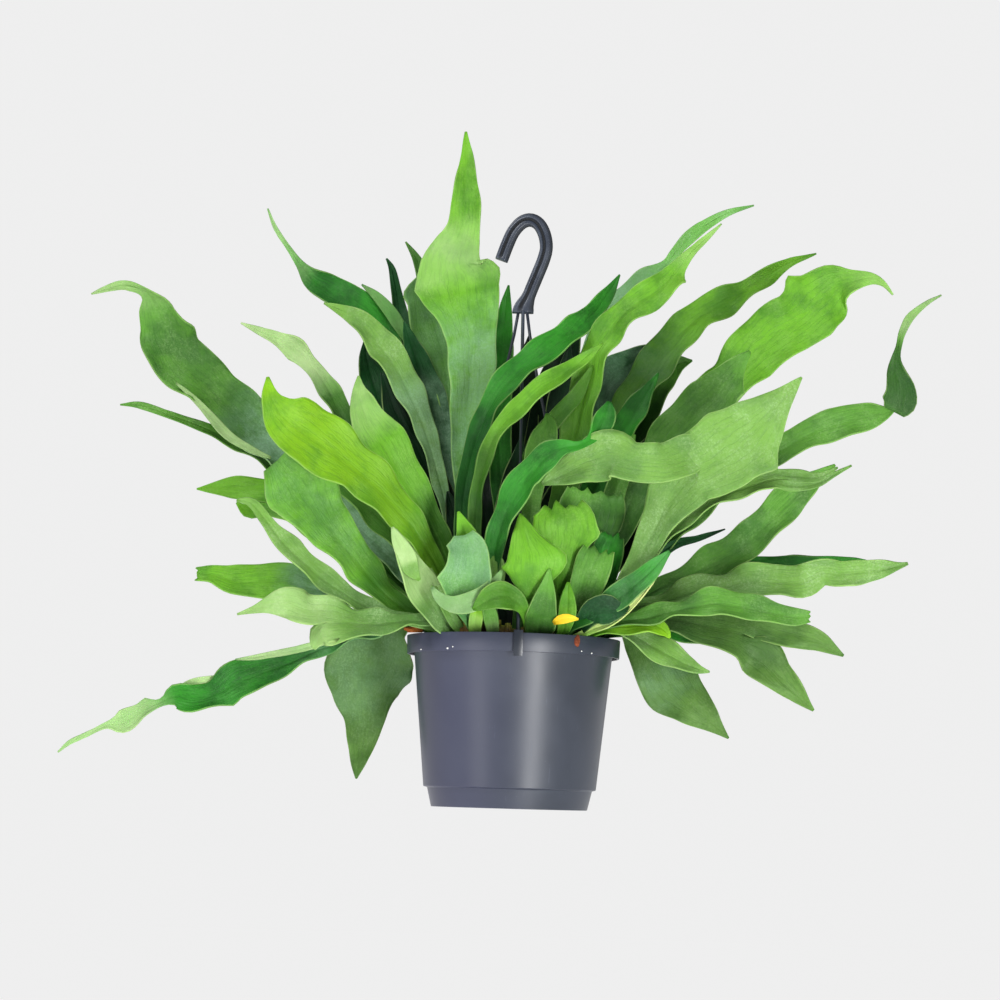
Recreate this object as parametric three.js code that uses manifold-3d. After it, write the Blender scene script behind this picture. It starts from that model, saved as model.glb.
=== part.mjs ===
// Staghorn fern in a hanging nursery pot.
// Millimetres, +Z up. The origin is the centre of the pot's underside; -Y is the front.
import * as THREE from 'three';
import { mergeVertices } from 'three/addons/utils/BufferGeometryUtils.js';
import Module from 'manifold-3d';

const wasm = await Module();
wasm.setup();

// ---- driving dimensions -------------------------------------------------------------

const seatGap = 0.3; // clearance left between neighbouring pieces

const pot = {
  height: 134,
  wall: 1.8,
  floor: 2.4,
  lip: 2.6, // thickness of the rim's top
  step: 0.8, // height of the step over the foot
  footRadius: 61.5, // at the underside
  footTopRadius: 65,
  footHeight: 15,
  bodyRadius: 68, // just above the step over the foot
  bodyTopRadius: 79.4,
  rimRadius: 84.5,
  rimHeight: 14.5,
  rimWall: 1.8,
  rimTaper: 0.5,
  rimChamfer: 1,
  facets: 48,
  holes: 6,
  holeRadius: 4,
  holeCircle: 38,
};

const medium = {
  topHeight: 126,
  edgeHeight: 123, // where it meets the pot's wall
  edgeSlope: 4,
  play: 0.2, // more clearance, for the facets of the pot's wall
};

const rhizome = {
  radius: 64,
  undersideRadius: 52,
  underside: 112,
  widest: 126,
  shoulder: 131,
  shoulderRadius: 62,
  middle: 138,
  middleRadius: 46,
  crownRadius: 26,
  crownEdge: 141.5,
  crown: 143,
  facets: 32,
};

const hanger = {
  thickness: 6, // front to back of the hook
  steps: 26,
  halfWidth: 4.5, // of the hook's band
  webDepth: 1.6, // groove on each face
  webHalfWidth: 2.6,
  webTrim: 0.03, // share of the hook's length left solid at each end
  footTop: 408,
  footHeight: 396,
  footHalfWidth: 8.5,
  footFlange: 3,
  footThickness: 9,
  rodRadius: 1.4,
  rodTopRadius: 3.6, // distance from the pot's axis
  rodBendRadius: 13,
  rodBendHeight: 340,
  rodSides: 6,
  rodSteps: 14,
  clipWidth: 7,
  clipWall: 1.6,
  clipDrop: 18, // outer leg, below the rim's top
  clipReach: 8, // inner leg
  clipPlay: 0.3,
  clipSlope: 0.8, // lean of the inner leg, along the pot's wall
  clipAngles: [-88, 32, 152], // degrees round the rim, the first one at the front
};

const frondThickness = 1.5;
const rowSpacing = 21; // along a frond
const leastHalf = 0.7; // half-width at a frond's tip
const cupBalance = 0.4; // share of the cup taken off the middle, so a bent section stays centred

// Frond points are set out on the front elevation, the XZ plane through the pot's axis,
// as seen from this eye, and then pushed along the line of sight to their own depth.
const eye = new THREE.Vector3(-14, -2180, 10);

// ---- colours --------------------------------------------------------------------------

const plastic = { color: 0x555b68, roughness: 0.48, metalness: 0 };
const hangerPlastic = { color: 0x39414e, roughness: 0.42, metalness: 0 };
const bark = { color: 0x4a3524, roughness: 0.95, metalness: 0 };
const root = { color: 0x6b6a35, roughness: 0.9, metalness: 0 };
const leafTones = {
  lime: 0x86b926,
  bright: 0x63a434,
  mid: 0x4f8c38,
  deep: 0x2f6a34,
  dark: 0x1f4a2a,
  grey: 0x76a382,
  felt: 0x86b06a,
  young: 0xc3d57a,
};

// ---- fronds ---------------------------------------------------------------------------
// Each station is [x, z, y, half, turn]: its place on the front elevation, its depth
// (negative towards the front), its half-width as seen from the front, and how far the
// blade is turned about its own length, in degrees. A positive turn brings the left-hand
// edge, looking along the growth, towards the front. cup bends the section: positive
// brings both edges forward. forks are the two lobes above the last station of path.

const fronds = {
  left_01: { tone: 'grey', cup: 0.2, path: [
    [-40, 137, 14, 4, 10], [-66, 166, 18, 6, 20], [-110, 205, 24, 11, 30], [-160, 252, 34, 15, 30],
    [-205, 290, 42, 17, 30], [-246, 326, 48, 19, 20], [-281, 355, 52, 22, 5],
    [-294, 381, 52, 15, -20], [-303, 403, 48, 3, -40], [-318, 409, 42, 3.5, -20],
    [-333, 406, 38, 3, 0], [-347, 401, 34, 0.7, 0]] },
  left_02: { tone: 'mid', cup: 0.25, path: [
    [-40, 130, 36, 3.5, 10], [-60, 152, 45, 4.5, 20], [-84, 170, 50, 6, 25], [-132, 212, 58, 9, 30],
    [-175, 253, 66, 10, 30], [-208, 277, 72, 8.5, 30], [-236, 289, 76, 6, 20],
    [-259, 298, 78, 3.5, 10], [-281, 305, 78, 3, 0], [-304, 312, 76, 2.6, 0],
    [-320, 312, 74, 0.7, 0]] },
  left_03: { tone: 'lime', cup: 0.15, path: [
    [-35, 134, -29, 4, 10], [-60, 168, -48, 6, 20], [-80, 200, -60, 9, 25],
    [-101, 227, -72, 12, 30], [-123, 254, -84, 16, 30], [-146, 276, -96, 20, 25],
    [-170, 291, -106, 23, 20], [-188, 303, -110, 20, 10], [-197, 318, -110, 11, 0],
    [-201, 335, -106, 2.5, 0]] },
  left_04: { tone: 'mid', cup: 0.2, path: [
    [-47, 132, -27, 4, 10], [-80, 157, -38, 7, 20], [-108, 181, -48, 11, 25],
    [-132, 206, -58, 16, 25], [-153, 230, -66, 21, 25], [-173, 248, -72, 23, 20],
    [-191, 259, -76, 20, 10], [-203, 267, -76, 10, 0], [-209, 272, -74, 2, 0]] },
  left_05: { tone: 'mid', cup: 0.2, path: [
    [-38, 136, -14, 4, 0], [-62, 176, -20, 5, 15], [-92, 210, -28, 8, 20], [-118, 236, -34, 9, 25],
    [-140, 256, -38, 8, 25], [-158, 274, -40, 5, 20], [-172, 290, -40, 0.8, 10]] },
  left_06: { tone: 'mid', cup: 0.15, path: [
    [-52, 132, 6, 4, 10], [-88, 160, 10, 6, 20], [-126, 192, 16, 8, 25], [-160, 220, 22, 11, 25],
    [-188, 238, 26, 13, 20]],
  forks: [
    [[-203, 232, 26, 6, 20], [-214, 229, 24, 5, 10], [-224, 236, 20, 0.8, 0]],
    [[-207, 246, 30, 9, 10], [-224, 248, 32, 8, 5], [-240, 247, 32, 5, 0], [-256, 246, 32, 0.7, 0]]] },
  left_07: { tone: 'felt', cup: 0.25, path: [
    [-46, 131, -32, 3.5, 10], [-62, 141, -40, 4, 20], [-82, 147, -48, 4.5, 30],
    [-103, 151, -54, 5, 35], [-128, 162, -60, 7, 35], [-151, 177, -66, 8, 30],
    [-171, 193, -72, 8, 30], [-187, 208, -74, 6.5, 20], [-200, 223, -74, 4, 10],
    [-212, 234, -72, 3, 0], [-223, 238, -68, 0.8, 0]] },
  left_08: { tone: 'bright', cup: 0.2, path: [
    [-53, 131, -14, 3.5, 20], [-71, 142, -17, 4, 25], [-90, 148, -18, 4.5, 35],
    [-112, 154, -20, 5.5, 35], [-136, 161, -22, 7, 35], [-158, 168, -24, 10, 30],
    [-180, 174, -26, 13, 25], [-202, 174, -28, 13.5, 20], [-224, 174, -30, 10.5, 15],
    [-241, 178, -30, 6.5, 10], [-254, 177, -30, 4, 0]] },
  left_09: { tone: 'felt', cup: 0.2, path: [
    [-41, 132, -38, 3.5, 15], [-58, 145, -52, 3.8, 20], [-81, 147, -67, 4.5, 40],
    [-100, 144, -76, 7, 40], [-122, 143, -86, 11, 35], [-146, 144, -94, 17, 25]],
  forks: [
    [[-153, 133, -98, 9, 20], [-157, 126, -98, 5, 10], [-158, 121, -98, 1, 0]],
    [[-164, 153, -98, 12, 15], [-180, 156, -102, 11, 5], [-195, 154, -102, 5.5, 0],
      [-208, 151, -98, 2.4, 0],
      [-220, 147, -94, 0.7, 0]]] },
  left_10: { tone: 'deep', cup: 0.25, path: [
    [-55, 131, 2, 3.5, 20], [-72, 141, 1, 3.5, 30], [-88, 143, 0, 4, 45], [-106, 138, -4, 5, 45],
    [-130, 130, -8, 5.5, 40], [-152, 121, -12, 5, 30], [-173, 111, -16, 7, 25],
    [-195, 103, -20, 11, 20], [-215, 95, -24, 14, 15], [-234, 83, -26, 9.5, 20],
    [-252, 79, -28, 10.5, 10], [-266, 81, -28, 8, 0], [-276, 76, -28, 2.4, 0],
    [-291, 69, -28, 4.5, 10], [-307, 59, -28, 7.5, 10], [-320, 56, -28, 2, 0],
    [-336, 48, -28, 1.7, 0], [-348, 42, -28, 1.6, 0], [-357, 34, -28, 0.7, 0]] },
  left_11: { tone: 'deep', cup: -0.15, path: [
    [-51, 131, 20, 4, 20], [-69, 143, 27, 4.5, 30], [-84, 147, 35, 6, 40], [-96, 145, 42, 8, 40],
    [-109, 133, 48, 15, 25], [-116, 117, 52, 26, 10], [-118, 102, 54, 30, 0], [-117, 86, 54, 22, 0],
    [-116, 68, 52, 16, 0], [-118, 48, 50, 10, 0], [-120, 33, 48, 5, 0], [-121, 20, 46, 0.8, 0]] },
  left_12: { tone: 'deep', cup: 0.2, path: [
    [-28, 133, 36, 3.5, 0], [-50, 210, 56, 5, 10], [-72, 280, 72, 6, 15], [-92, 335, 84, 7, 20],
    [-108, 370, 90, 8, 20], [-121, 389, 94, 9, 15], [-139, 402, 98, 11, 10],
    [-157, 411, 100, 11.5, 5], [-170, 419, 100, 8, 0], [-180, 430, 98, 3, -20],
    [-190, 444, 94, 1.7, -30], [-201, 459, 88, 1.6, 0], [-208, 475, 82, 0.7, 0]] },
  left_13: { tone: 'felt', cup: 0.25, path: [
    [-26, 139, 8, 3.5, 0], [-45, 200, 14, 4.5, 10], [-60, 248, 22, 5, 15], [-72, 288, 32, 7, 20],
    [-86, 322, 42, 10, 25], [-101, 350, 50, 12, 25], [-118, 373, 58, 10, 20],
    [-135, 388, 64, 6.5, 10], [-149, 395, 66, 3.5, 0], [-160, 399, 66, 0.8, 0]] },
  left_14: { tone: 'mid', cup: 0.2, path: [
    [-36, 137, 24, 4, 0], [-64, 188, 26, 5, 15], [-92, 232, 28, 7, 25], [-120, 275, 32, 8, 30],
    [-139, 304, 36, 8, 30], [-150, 322, 38, 8, 25], [-160, 338, 40, 6.5, 10],
    [-170, 350, 40, 5, -20], [-181, 361, 40, 9, -10], [-196, 369, 38, 5, 0],
    [-211, 375, 36, 2.8, 0], [-226, 381, 34, 0.7, 0]] },
  left_15: { tone: 'bright', cup: 0.15, path: [
    [-31, 135, -8, 4.5, 0], [-48, 180, -18, 7, 10], [-66, 218, -28, 10, 15],
    [-84, 250, -42, 13, 20], [-100, 275, -48, 16, 20], [-114, 295, -52, 16.5, 15],
    [-124, 313, -52, 11, 10], [-129, 328, -50, 5, 0], [-130, 340, -48, 0.7, 0]] },
  left_16: { tone: 'dark', cup: 0.15, path: [
    [-34, 131, 38, 4, 0], [-66, 204, 62, 7, 10], [-88, 264, 80, 12, 15], [-105, 303, 92, 15, 15],
    [-117, 334, 100, 12, 10], [-124, 355, 104, 6, 0], [-126, 371, 104, 0.8, 0]] },
  left_17: { tone: 'dark', cup: 0.3, path: [
    [-18, 132, 45, 3.5, 0], [-44, 230, 92, 5, 10], [-68, 310, 116, 7, 15], [-88, 362, 128, 7, 15],
    [-97, 388, 132, 5, 10], [-102, 410, 134, 4, 0], [-106, 428, 134, 3, 0],
    [-111, 437, 132, 0.8, 0]] },
  left_18: { tone: 'mid', cup: 0.3, path: [
    [-6, 133, 46, 3.5, 0], [-30, 250, 96, 5, 0], [-56, 350, 122, 6, 5], [-74, 402, 132, 6, 10],
    [-84, 431, 134, 4, 10], [-89, 441, 134, 2.5, 0], [-96, 451, 132, 0.7, 0]] },
  left_19: { tone: 'deep', cup: 0.25, path: [
    [-12, 134, 36, 3.5, 0], [-36, 220, 52, 4, 5], [-52, 296, 62, 5, 10], [-60, 344, 68, 6, 10],
    [-68, 371, 72, 8, 10], [-77, 391, 74, 14, 10], [-86, 406, 74, 13, 5], [-93, 417, 72, 6, 0],
    [-98, 424, 70, 1, 0]] },
  left_20: { tone: 'grey', cup: 0.2, path: [
    [-18, 139, 24, 3.5, 0], [-44, 205, 36, 6, 10], [-60, 270, 50, 10, 15], [-72, 316, 58, 13, 15],
    [-82, 349, 62, 11, 10], [-90, 371, 64, 5, 0], [-95, 386, 64, 0.8, 0]] },
  centre_01: { tone: 'felt', cup: 0.12, path: [
    [-24, 138, -12, 4, 0], [-33, 195, -8, 5.5, 0], [-41, 255, -4, 7, 5], [-43, 298, 0, 11, 5],
    [-41, 335, 4, 16, 10], [-41, 370, 6, 19, 10], [-45, 398, 8, 23, 10], [-52, 420, 8, 31, 5],
    [-57, 436, 8, 23, 5], [-53, 455, 8, 17, 0], [-50, 475, 8, 12.5, 0], [-50, 497, 10, 8.5, 0],
    [-48, 518, 12, 5, 0], [-47, 532, 14, 2.8, 0], [-50, 542, 16, 0.7, 0]] },
  centre_02: { tone: 'deep', cup: 0.3, path: [
    [-2, 137, 26, 4, 0], [-10, 220, 42, 6, 0], [-16, 290, 54, 8, 5], [-17, 340, 60, 8.5, 5],
    [-15, 375, 62, 6.5, 5], [-14, 400, 60, 4.2, 0], [-12, 416, 58, 0.8, 0]] },
  centre_03: { tone: 'deep', cup: 0.35, path: [
    [-22, 137, -25, 4, 0], [-40, 190, -38, 6, -10], [-44, 238, -40, 6.5, -15],
    [-39, 274, -42, 7, -20], [-30, 305, -40, 8.5, -25], [-18, 330, -37, 10, -25],
    [-2, 349, -33, 11, -25], [19, 366, -26, 11, -25], [40, 382, -10, 10.5, -20],
    [57, 398, 8, 8.5, -15], [68, 413, 20, 5, -10], [76, 428, 26, 0.8, 0]] },
  centre_04: { tone: 'deep', cup: 0.35, path: [
    [-18, 134, -36, 3.5, 0], [-31, 190, -54, 5.5, -10], [-32, 238, -61, 6, -15],
    [-27, 270, -64, 6.5, -20], [-19, 293, -62, 7, -25], [-8, 310, -60, 8, -25],
    [6, 324, -56, 8.5, -25], [22, 338, -52, 8.5, -25], [38, 350, -46, 7.5, -20],
    [52, 362, -40, 5.5, -10], [65, 374, -34, 0.8, 0]] },
  right_01: { tone: 'bright', cup: 0.15, path: [
    [8, 140, -18, 4.5, 0], [24, 196, -16, 7, -10], [36, 248, -12, 9, -15], [45, 288, -8, 11, -20],
    [53, 322, -6, 12.5, -20], [62, 352, -6, 13, -20], [71, 378, -8, 13, -20],
    [83, 396, -10, 13.5, -20], [98, 409, -10, 14, -15], [113, 421, -8, 12.5, -15],
    [129, 436, -4, 7.5, -10], [145, 453, 0, 4, 0], [158, 473, 4, 0.7, 0]] },
  right_02: { tone: 'grey', cup: 0.25, path: [
    [8, 134, 42, 3.5, 0], [28, 222, 50, 6, -10], [46, 308, 54, 7.5, -15], [59, 370, 54, 8, -20],
    [71, 401, 52, 8, -20], [85, 416, 50, 7, -20], [100, 428, 50, 6.5, -15], [114, 438, 50, 3.6, 0],
    [121, 448, 50, 4, 10], [132, 461, 52, 5, 10], [147, 473, 54, 4, 0], [165, 483, 54, 2.5, 0],
    [184, 489, 52, 0.7, 0]] },
  right_03: { tone: 'mid', cup: 0.2, path: [
    [22, 132, 40, 4, 0], [46, 215, 56, 7, -10], [66, 280, 66, 10, -20], [80, 315, 72, 12, -25],
    [93, 338, 74, 13, -25], [108, 357, 76, 13.5, -25], [125, 375, 78, 14, -25],
    [143, 392, 80, 13, -20], [162, 406, 82, 11.5, -20], [180, 419, 82, 8.5, -15],
    [198, 432, 82, 6, -10], [216, 444, 80, 3, 0], [235, 451, 76, 0.7, 0]] },
  right_04: { tone: 'bright', cup: 0.12, path: [
    [34, 137, 20, 4.5, 0], [58, 194, 20, 6, -10], [86, 244, 20, 8, -20], [114, 290, 20, 12, -25],
    [140, 324, 22, 17, -25], [165, 350, 24, 20, -25], [188, 373, 26, 21.5, -20],
    [208, 390, 26, 22, -15], [226, 404, 26, 27, -10], [246, 415, 24, 20, -5], [263, 427, 20, 9, 0],
    [277, 432, 14, 3.6, 0], [290, 429, 8, 1.6, 0], [297, 420, 4, 0.7, 0]] },
  right_05: { tone: 'deep', cup: 0.12, path: [
    [46, 136, -6, 5, 0], [60, 176, -10, 8, -10], [74, 216, -14, 9, -15], [90, 254, -18, 11, -20],
    [107, 284, -22, 13.5, -20], [126, 307, -26, 15.5, -20], [145, 326, -28, 14.5, -20],
    [161, 341, -28, 11, -15], [173, 355, -26, 6, -5], [183, 369, -24, 0.8, 0]] },
  right_06: { tone: 'felt', cup: 0.12, path: [
    [43, 133, -28, 4.5, 0], [70, 170, -52, 7.5, -10], [90, 204, -68, 11, -15],
    [107, 229, -80, 15, -20], [122, 253, -92, 22, -15], [130, 271, -98, 30, -10]],
  forks: [
    [[100, 277, -104, 13.5, 20], [78, 280, -106, 12.5, 20], [56, 276, -104, 10.5, 15],
      [38, 269, -100, 7.5, 10], [19, 257, -96, 0.8, 0]],
    [[152, 285, -104, 24, -15], [174, 299, -110, 30, -10], [192, 312, -114, 24, -5],
      [207, 328, -114, 12, 0],
      [218, 341, -112, 5, 0], [225, 349, -110, 0.7, 0]]] },
  right_07: { tone: 'felt', cup: 0.3, path: [
    [50, 131, -26, 3.5, 0], [80, 172, -40, 4.5, -20], [106, 206, -52, 5.5, -30],
    [131, 232, -62, 6, -35], [156, 250, -70, 6.5, -35], [181, 261, -76, 7, -30],
    [205, 268, -80, 7, -20]],
  forks: [
    [[225, 269, -82, 4, -10], [240, 268, -82, 3, 0], [255, 277, -80, 0.7, 0]],
    [[222, 262, -80, 4, -10], [240, 264, -78, 2.4, 0], [252, 272, -76, 1.6, 0], [266, 279, -72, 0.7, 0]]] },
  right_08: { tone: 'bright', cup: 0.2, path: [
    [53, 131, -13, 3.5, 0], [84, 164, -18, 5, -20], [114, 187, -22, 6, -30],
    [146, 203, -26, 8, -30], [173, 219, -30, 10.5, -25], [196, 235, -32, 13.5, -20],
    [214, 247, -32, 12, -10], [229, 257, -30, 7, 0], [241, 263, -28, 3, 0], [250, 270, -26, 0.7, 0]] },
  right_09: { tone: 'mid', cup: 0.15, path: [
    [54, 133, 8, 4, 0], [84, 176, 10, 5, -20], [122, 218, 12, 7, -30], [160, 254, 14, 9.5, -25],
    [192, 280, 16, 12, -20], [219, 297, 18, 14, -15], [244, 311, 20, 15, -10],
    [266, 318, 20, 14, -5], [285, 324, 16, 9.5, 10], [298, 335, 8, 9, 20], [301, 350, 2, 9.5, 10],
    [299, 363, 0, 5, 0], [301, 376, 0, 2, 0], [304, 388, 0, 2.6, 0], [311, 400, 0, 2.8, 0],
    [323, 411, 0, 2, 0], [336, 420, 0, 0.7, 0]] },
  right_10: { tone: 'felt', cup: 0.2, path: [
    [49, 131, -28, 4, 0], [66, 144, -36, 4.5, -20], [86, 155, -43, 5, -30], [112, 165, -50, 7, -35],
    [140, 175, -58, 9, -30], [166, 182, -64, 10.5, -25], [190, 186, -70, 11, -20],
    [210, 186, -74, 12, -15], [228, 186, -76, 12.5, -5], [244, 194, -76, 9.5, 10],
    [258, 193, -76, 8.5, 0], [275, 195, -76, 8, 10], [290, 197, -74, 6, 0], [302, 200, -72, 3, -10],
    [312, 203, -70, 0.8, 0]] },
  right_11: { tone: 'deep', cup: 0.25, path: [
    [55, 131, -4, 3.5, 0], [74, 147, -6, 4, -20], [94, 160, -8, 5, -30], [130, 178, -14, 5.5, -35],
    [165, 190, -20, 6, -30], [192, 196, -26, 6.5, -20], [212, 198, -32, 6.5, -10],
    [231, 200, -36, 5.5, 0], [250, 202, -38, 4.5, 10], [268, 203, -38, 3, 0],
    [284, 203, -38, 0.8, 0]] },
  right_12: { tone: 'lime', cup: 0.2, path: [
    [37, 132, -43, 3.5, 0], [56, 145, -59, 4, -20], [79, 150, -70, 4.5, -35],
    [106, 154, -76, 5, -40], [132, 162, -86, 5, -35], [156, 165, -92, 6, -30],
    [180, 165, -98, 8, -25], [204, 161, -102, 8.5, -15], [222, 158, -102, 6, 0],
    [236, 155, -100, 1.6, 0]] },
  right_13: { tone: 'mid', cup: 0.15, path: [
    [53, 131, -17, 3.5, 0], [72, 144, -22, 4, -25], [91, 151, -27, 5, -40], [118, 154, -34, 9, -35],
    [150, 150, -42, 13, -25], [180, 144, -50, 18, -15]],
  forks: [
    [[206, 146, -56, 9, 0], [226, 143, -58, 9, 5], [244, 138, -58, 6.5, 5], [262, 128, -56, 0.8, 0]],
    [[196, 124, -52, 16, 0], [211, 110, -52, 11, 0], [225, 97, -50, 6, 0], [239, 84, -48, 0.8, 0]]] },
  right_14: { tone: 'dark', cup: 0.15, path: [
    [54, 131, 13, 3.5, 0], [73, 145, 14, 4, -20], [93, 155, 14, 5, -35], [122, 160, 12, 8, -30],
    [152, 159, 10, 10, -25], [178, 153, 8, 11, -15], [194, 147, 6, 7, 0], [203, 141, 4, 1, 0]] },
  right_15: { tone: 'mid', cup: -0.12, path: [
    [49, 131, 26, 4, 0], [68, 144, 28, 4.5, -20], [84, 148, 28, 6, -40], [98, 140, 24, 10, -30],
    [112, 121, 18, 18, -20], [126, 101, 14, 23, -10], [141, 87, 12, 17, 0], [153, 77, 12, 10.5, 0],
    [163, 68, 12, 5, 0], [172, 60, 12, 0.8, 0]] },
  right_16: { tone: 'felt', cup: 0.2, path: [
    [44, 131, -37, 3.5, 0], [61, 143, -47, 4, -20], [79, 146, -54, 4, -40],
    [96, 139, -58, 6.5, -30], [117, 128, -66, 8.5, -20], [134, 119, -70, 7, -10],
    [146, 114, -72, 3.5, 0], [156, 112, -72, 0.8, 0]] },
  right_17: { tone: 'dark', cup: 0.2, path: [
    [29, 132, -47, 4, 0], [44, 147, -65, 6, -8], [62, 156, -75, 8, -15], [84, 169, -84, 11, -20],
    [104, 184, -90, 9, -20], [121, 198, -92, 2, -10]] },
  front_01: { tone: 'grey', cup: 0.4, path: [
    [-26, 132, -49, 4, 0], [-40, 152, -72, 8, 10], [-46, 166, -85, 15, 10], [-41, 180, -90, 18, 5],
    [-37, 194, -94, 14, 0], [-37, 205, -92, 12, 0], [-38, 213, -86, 11, 0]] },
  front_02: { tone: 'bright', cup: 0.2, path: [
    [-22, 134, -39, 3.5, 0], [-32, 160, -54, 6, 0], [-38, 190, -68, 8, 0], [-39, 211, -75, 7.5, 0],
    [-43, 223, -77, 4, 0], [-46, 232, -76, 0.8, 0]] },
  front_03: { tone: 'lime', cup: -0.12, path: [
    [12, 133, -50, 2.6, 0], [11, 150, -73, 3, 0], [10, 165, -86, 4.5, 0], [9, 180, -93, 13, 0],
    [11, 192, -98, 21, 0], [10, 203, -100, 18, 0], [5, 214, -98, 11, 0], [2, 224, -94, 4.5, 0],
    [0, 233, -90, 0.8, 0]] },
  front_04: { tone: 'bright', cup: 0.2, path: [
    [32, 133, -38, 4, 0], [34, 170, -58, 8, 0], [35, 200, -72, 13, 5], [38, 221, -80, 19, 5],
    [38, 234, -82, 16, 5], [34, 243, -80, 9, 0], [29, 249, -76, 2, 0]] },
  front_05: { tone: 'mid', cup: 0.15, path: [
    [34, 134, -34, 4.5, 0], [46, 178, -40, 9, 0], [54, 206, -46, 14, -5], [57, 226, -50, 20, -5],
    [58, 241, -52, 22, -5], [60, 253, -50, 18, 0]] },
  front_06: { tone: 'bright', cup: 0.25, path: [
    [-16, 131, -56, 3.5, 0], [-20, 180, -74, 5.5, -10], [-14, 220, -88, 7, -20],
    [-4, 245, -98, 9, -25], [8, 265, -106, 12, -25], [22, 279, -112, 12, -20],
    [36, 288, -114, 8, -10], [48, 290, -112, 3.5, 0], [58, 295, -108, 2.6, 10],
    [65, 306, -104, 7.5, 0], [69, 316, -102, 6, 0], [71, 324, -100, 1.2, 0]] },
  front_07: { tone: 'mid', cup: 0.2, path: [
    [2, 138, -36, 3.5, 0], [8, 205, -38, 4.5, 0], [12, 252, -40, 6, -5], [15, 280, -42, 8, -5],
    [20, 297, -42, 8, 0], [23, 306, -42, 5, 0], [21, 313, -40, 0.8, 0]] },
  front_08: { tone: 'young', cup: 0.3, path: [
    [-34, 132, -43, 4, 10], [-50, 147, -58, 5.5, 12], [-64, 159, -68, 7.5, 15],
    [-76, 173, -77, 8.5, 20], [-87, 190, -84, 7, 15], [-95, 206, -88, 4.5, 5],
    [-99, 216, -90, 1, 0]] },
  front_09: { tone: 'mid', cup: 0.3, path: [
    [20, 132, -51, 3, 0], [20, 146, -72, 4, 0], [17, 157, -88, 5, 0], [9, 165, -99, 7, 10],
    [-2, 168, -106, 8.5, 15], [-13, 166, -106, 7, 15], [-23, 163, -104, 4.5, 5],
    [-31, 161, -100, 1, 0]] },
  front_10: { tone: 'deep', cup: 0.2, path: [
    [24, 134, -40, 4, 0], [27, 150, -60, 5.5, 0], [28, 162, -73, 8.5, 0], [30, 173, -82, 12, 0],
    [35, 190, -88, 13, -5], [41, 204, -88, 7, 0], [45, 214, -86, 1, 0]] },
  back_01: { tone: 'dark', cup: 0.2, path: [
    [-38, 129, 42, 4, 30], [-72, 190, 92, 9, 50], [-92, 240, 134, 15, 50], [-104, 270, 172, 15, 40],
    [-108, 282, 205, 8, 30], [-108, 280, 228, 0.8, 20]] },
  back_02: { tone: 'deep', cup: 0.2, path: [
    [-20, 130, 50, 4, 10], [-32, 206, 116, 9, 20], [-38, 264, 158, 14, 20], [-40, 300, 196, 15, 20],
    [-38, 312, 226, 9, 10], [-34, 304, 252, 0.8, 0]] },
  back_03: { tone: 'mid', cup: 0.2, path: [
    [10, 130, 50, 4, 0], [18, 206, 108, 9, -10], [24, 270, 148, 14, -15], [28, 316, 182, 14, -15],
    [32, 338, 210, 7, -10], [36, 342, 232, 0.8, 0]] },
  back_04: { tone: 'dark', cup: 0.2, path: [
    [34, 130, 42, 4, -10], [60, 190, 96, 9, -40], [76, 236, 140, 14, -45], [86, 262, 178, 14, -40],
    [90, 270, 210, 8, -30], [92, 264, 236, 0.8, -20]] },
  back_05: { tone: 'deep', cup: 0.2, path: [
    [-4, 129, 52, 4, 0], [-4, 160, 84, 7, 0], [-4, 176, 108, 9, 0], [-6, 190, 142, 13, 10],
    [-10, 186, 182, 13, 10], [-16, 160, 212, 7, 10], [-20, 134, 228, 0.8, 0]] },
};

// ---- helpers --------------------------------------------------------------------------

const solids = (mesh) => new wasm.Manifold(mesh);

function toSolid(geometry) {
  const bare = geometry.index ? geometry.clone() : geometry;
  bare.deleteAttribute('normal');
  bare.deleteAttribute('uv');
  const merged = mergeVertices(bare, 1e-4);
  return solids(new wasm.Mesh({
    numProp: 3,
    vertProperties: new Float32Array(merged.attributes.position.array),
    triVerts: new Uint32Array(merged.index.array),
  }));
}

function toGeometry(solid) {
  const mesh = solid.getMesh();
  const geometry = new THREE.BufferGeometry();
  geometry.setAttribute('position', new THREE.BufferAttribute(mesh.vertProperties, 3));
  geometry.setIndex(new THREE.BufferAttribute(mesh.triVerts, 1));
  return geometry;
}

// A solid turned about the Z axis from a closed outline of [radius, height] points.
function turned(outline, facets) {
  const points = outline.map(([radius, height]) => new THREE.Vector2(radius, height));
  const geometry = new THREE.LatheGeometry(points, facets);
  geometry.rotateX(Math.PI / 2);
  return toSolid(geometry);
}

function addPart(group, name, solid, finish) {
  const mesh = new THREE.Mesh(toGeometry(solid), new THREE.MeshStandardMaterial(finish));
  mesh.name = name;
  group.add(mesh);
}

// ---- pot, medium and rhizome ----------------------------------------------------------

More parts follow.
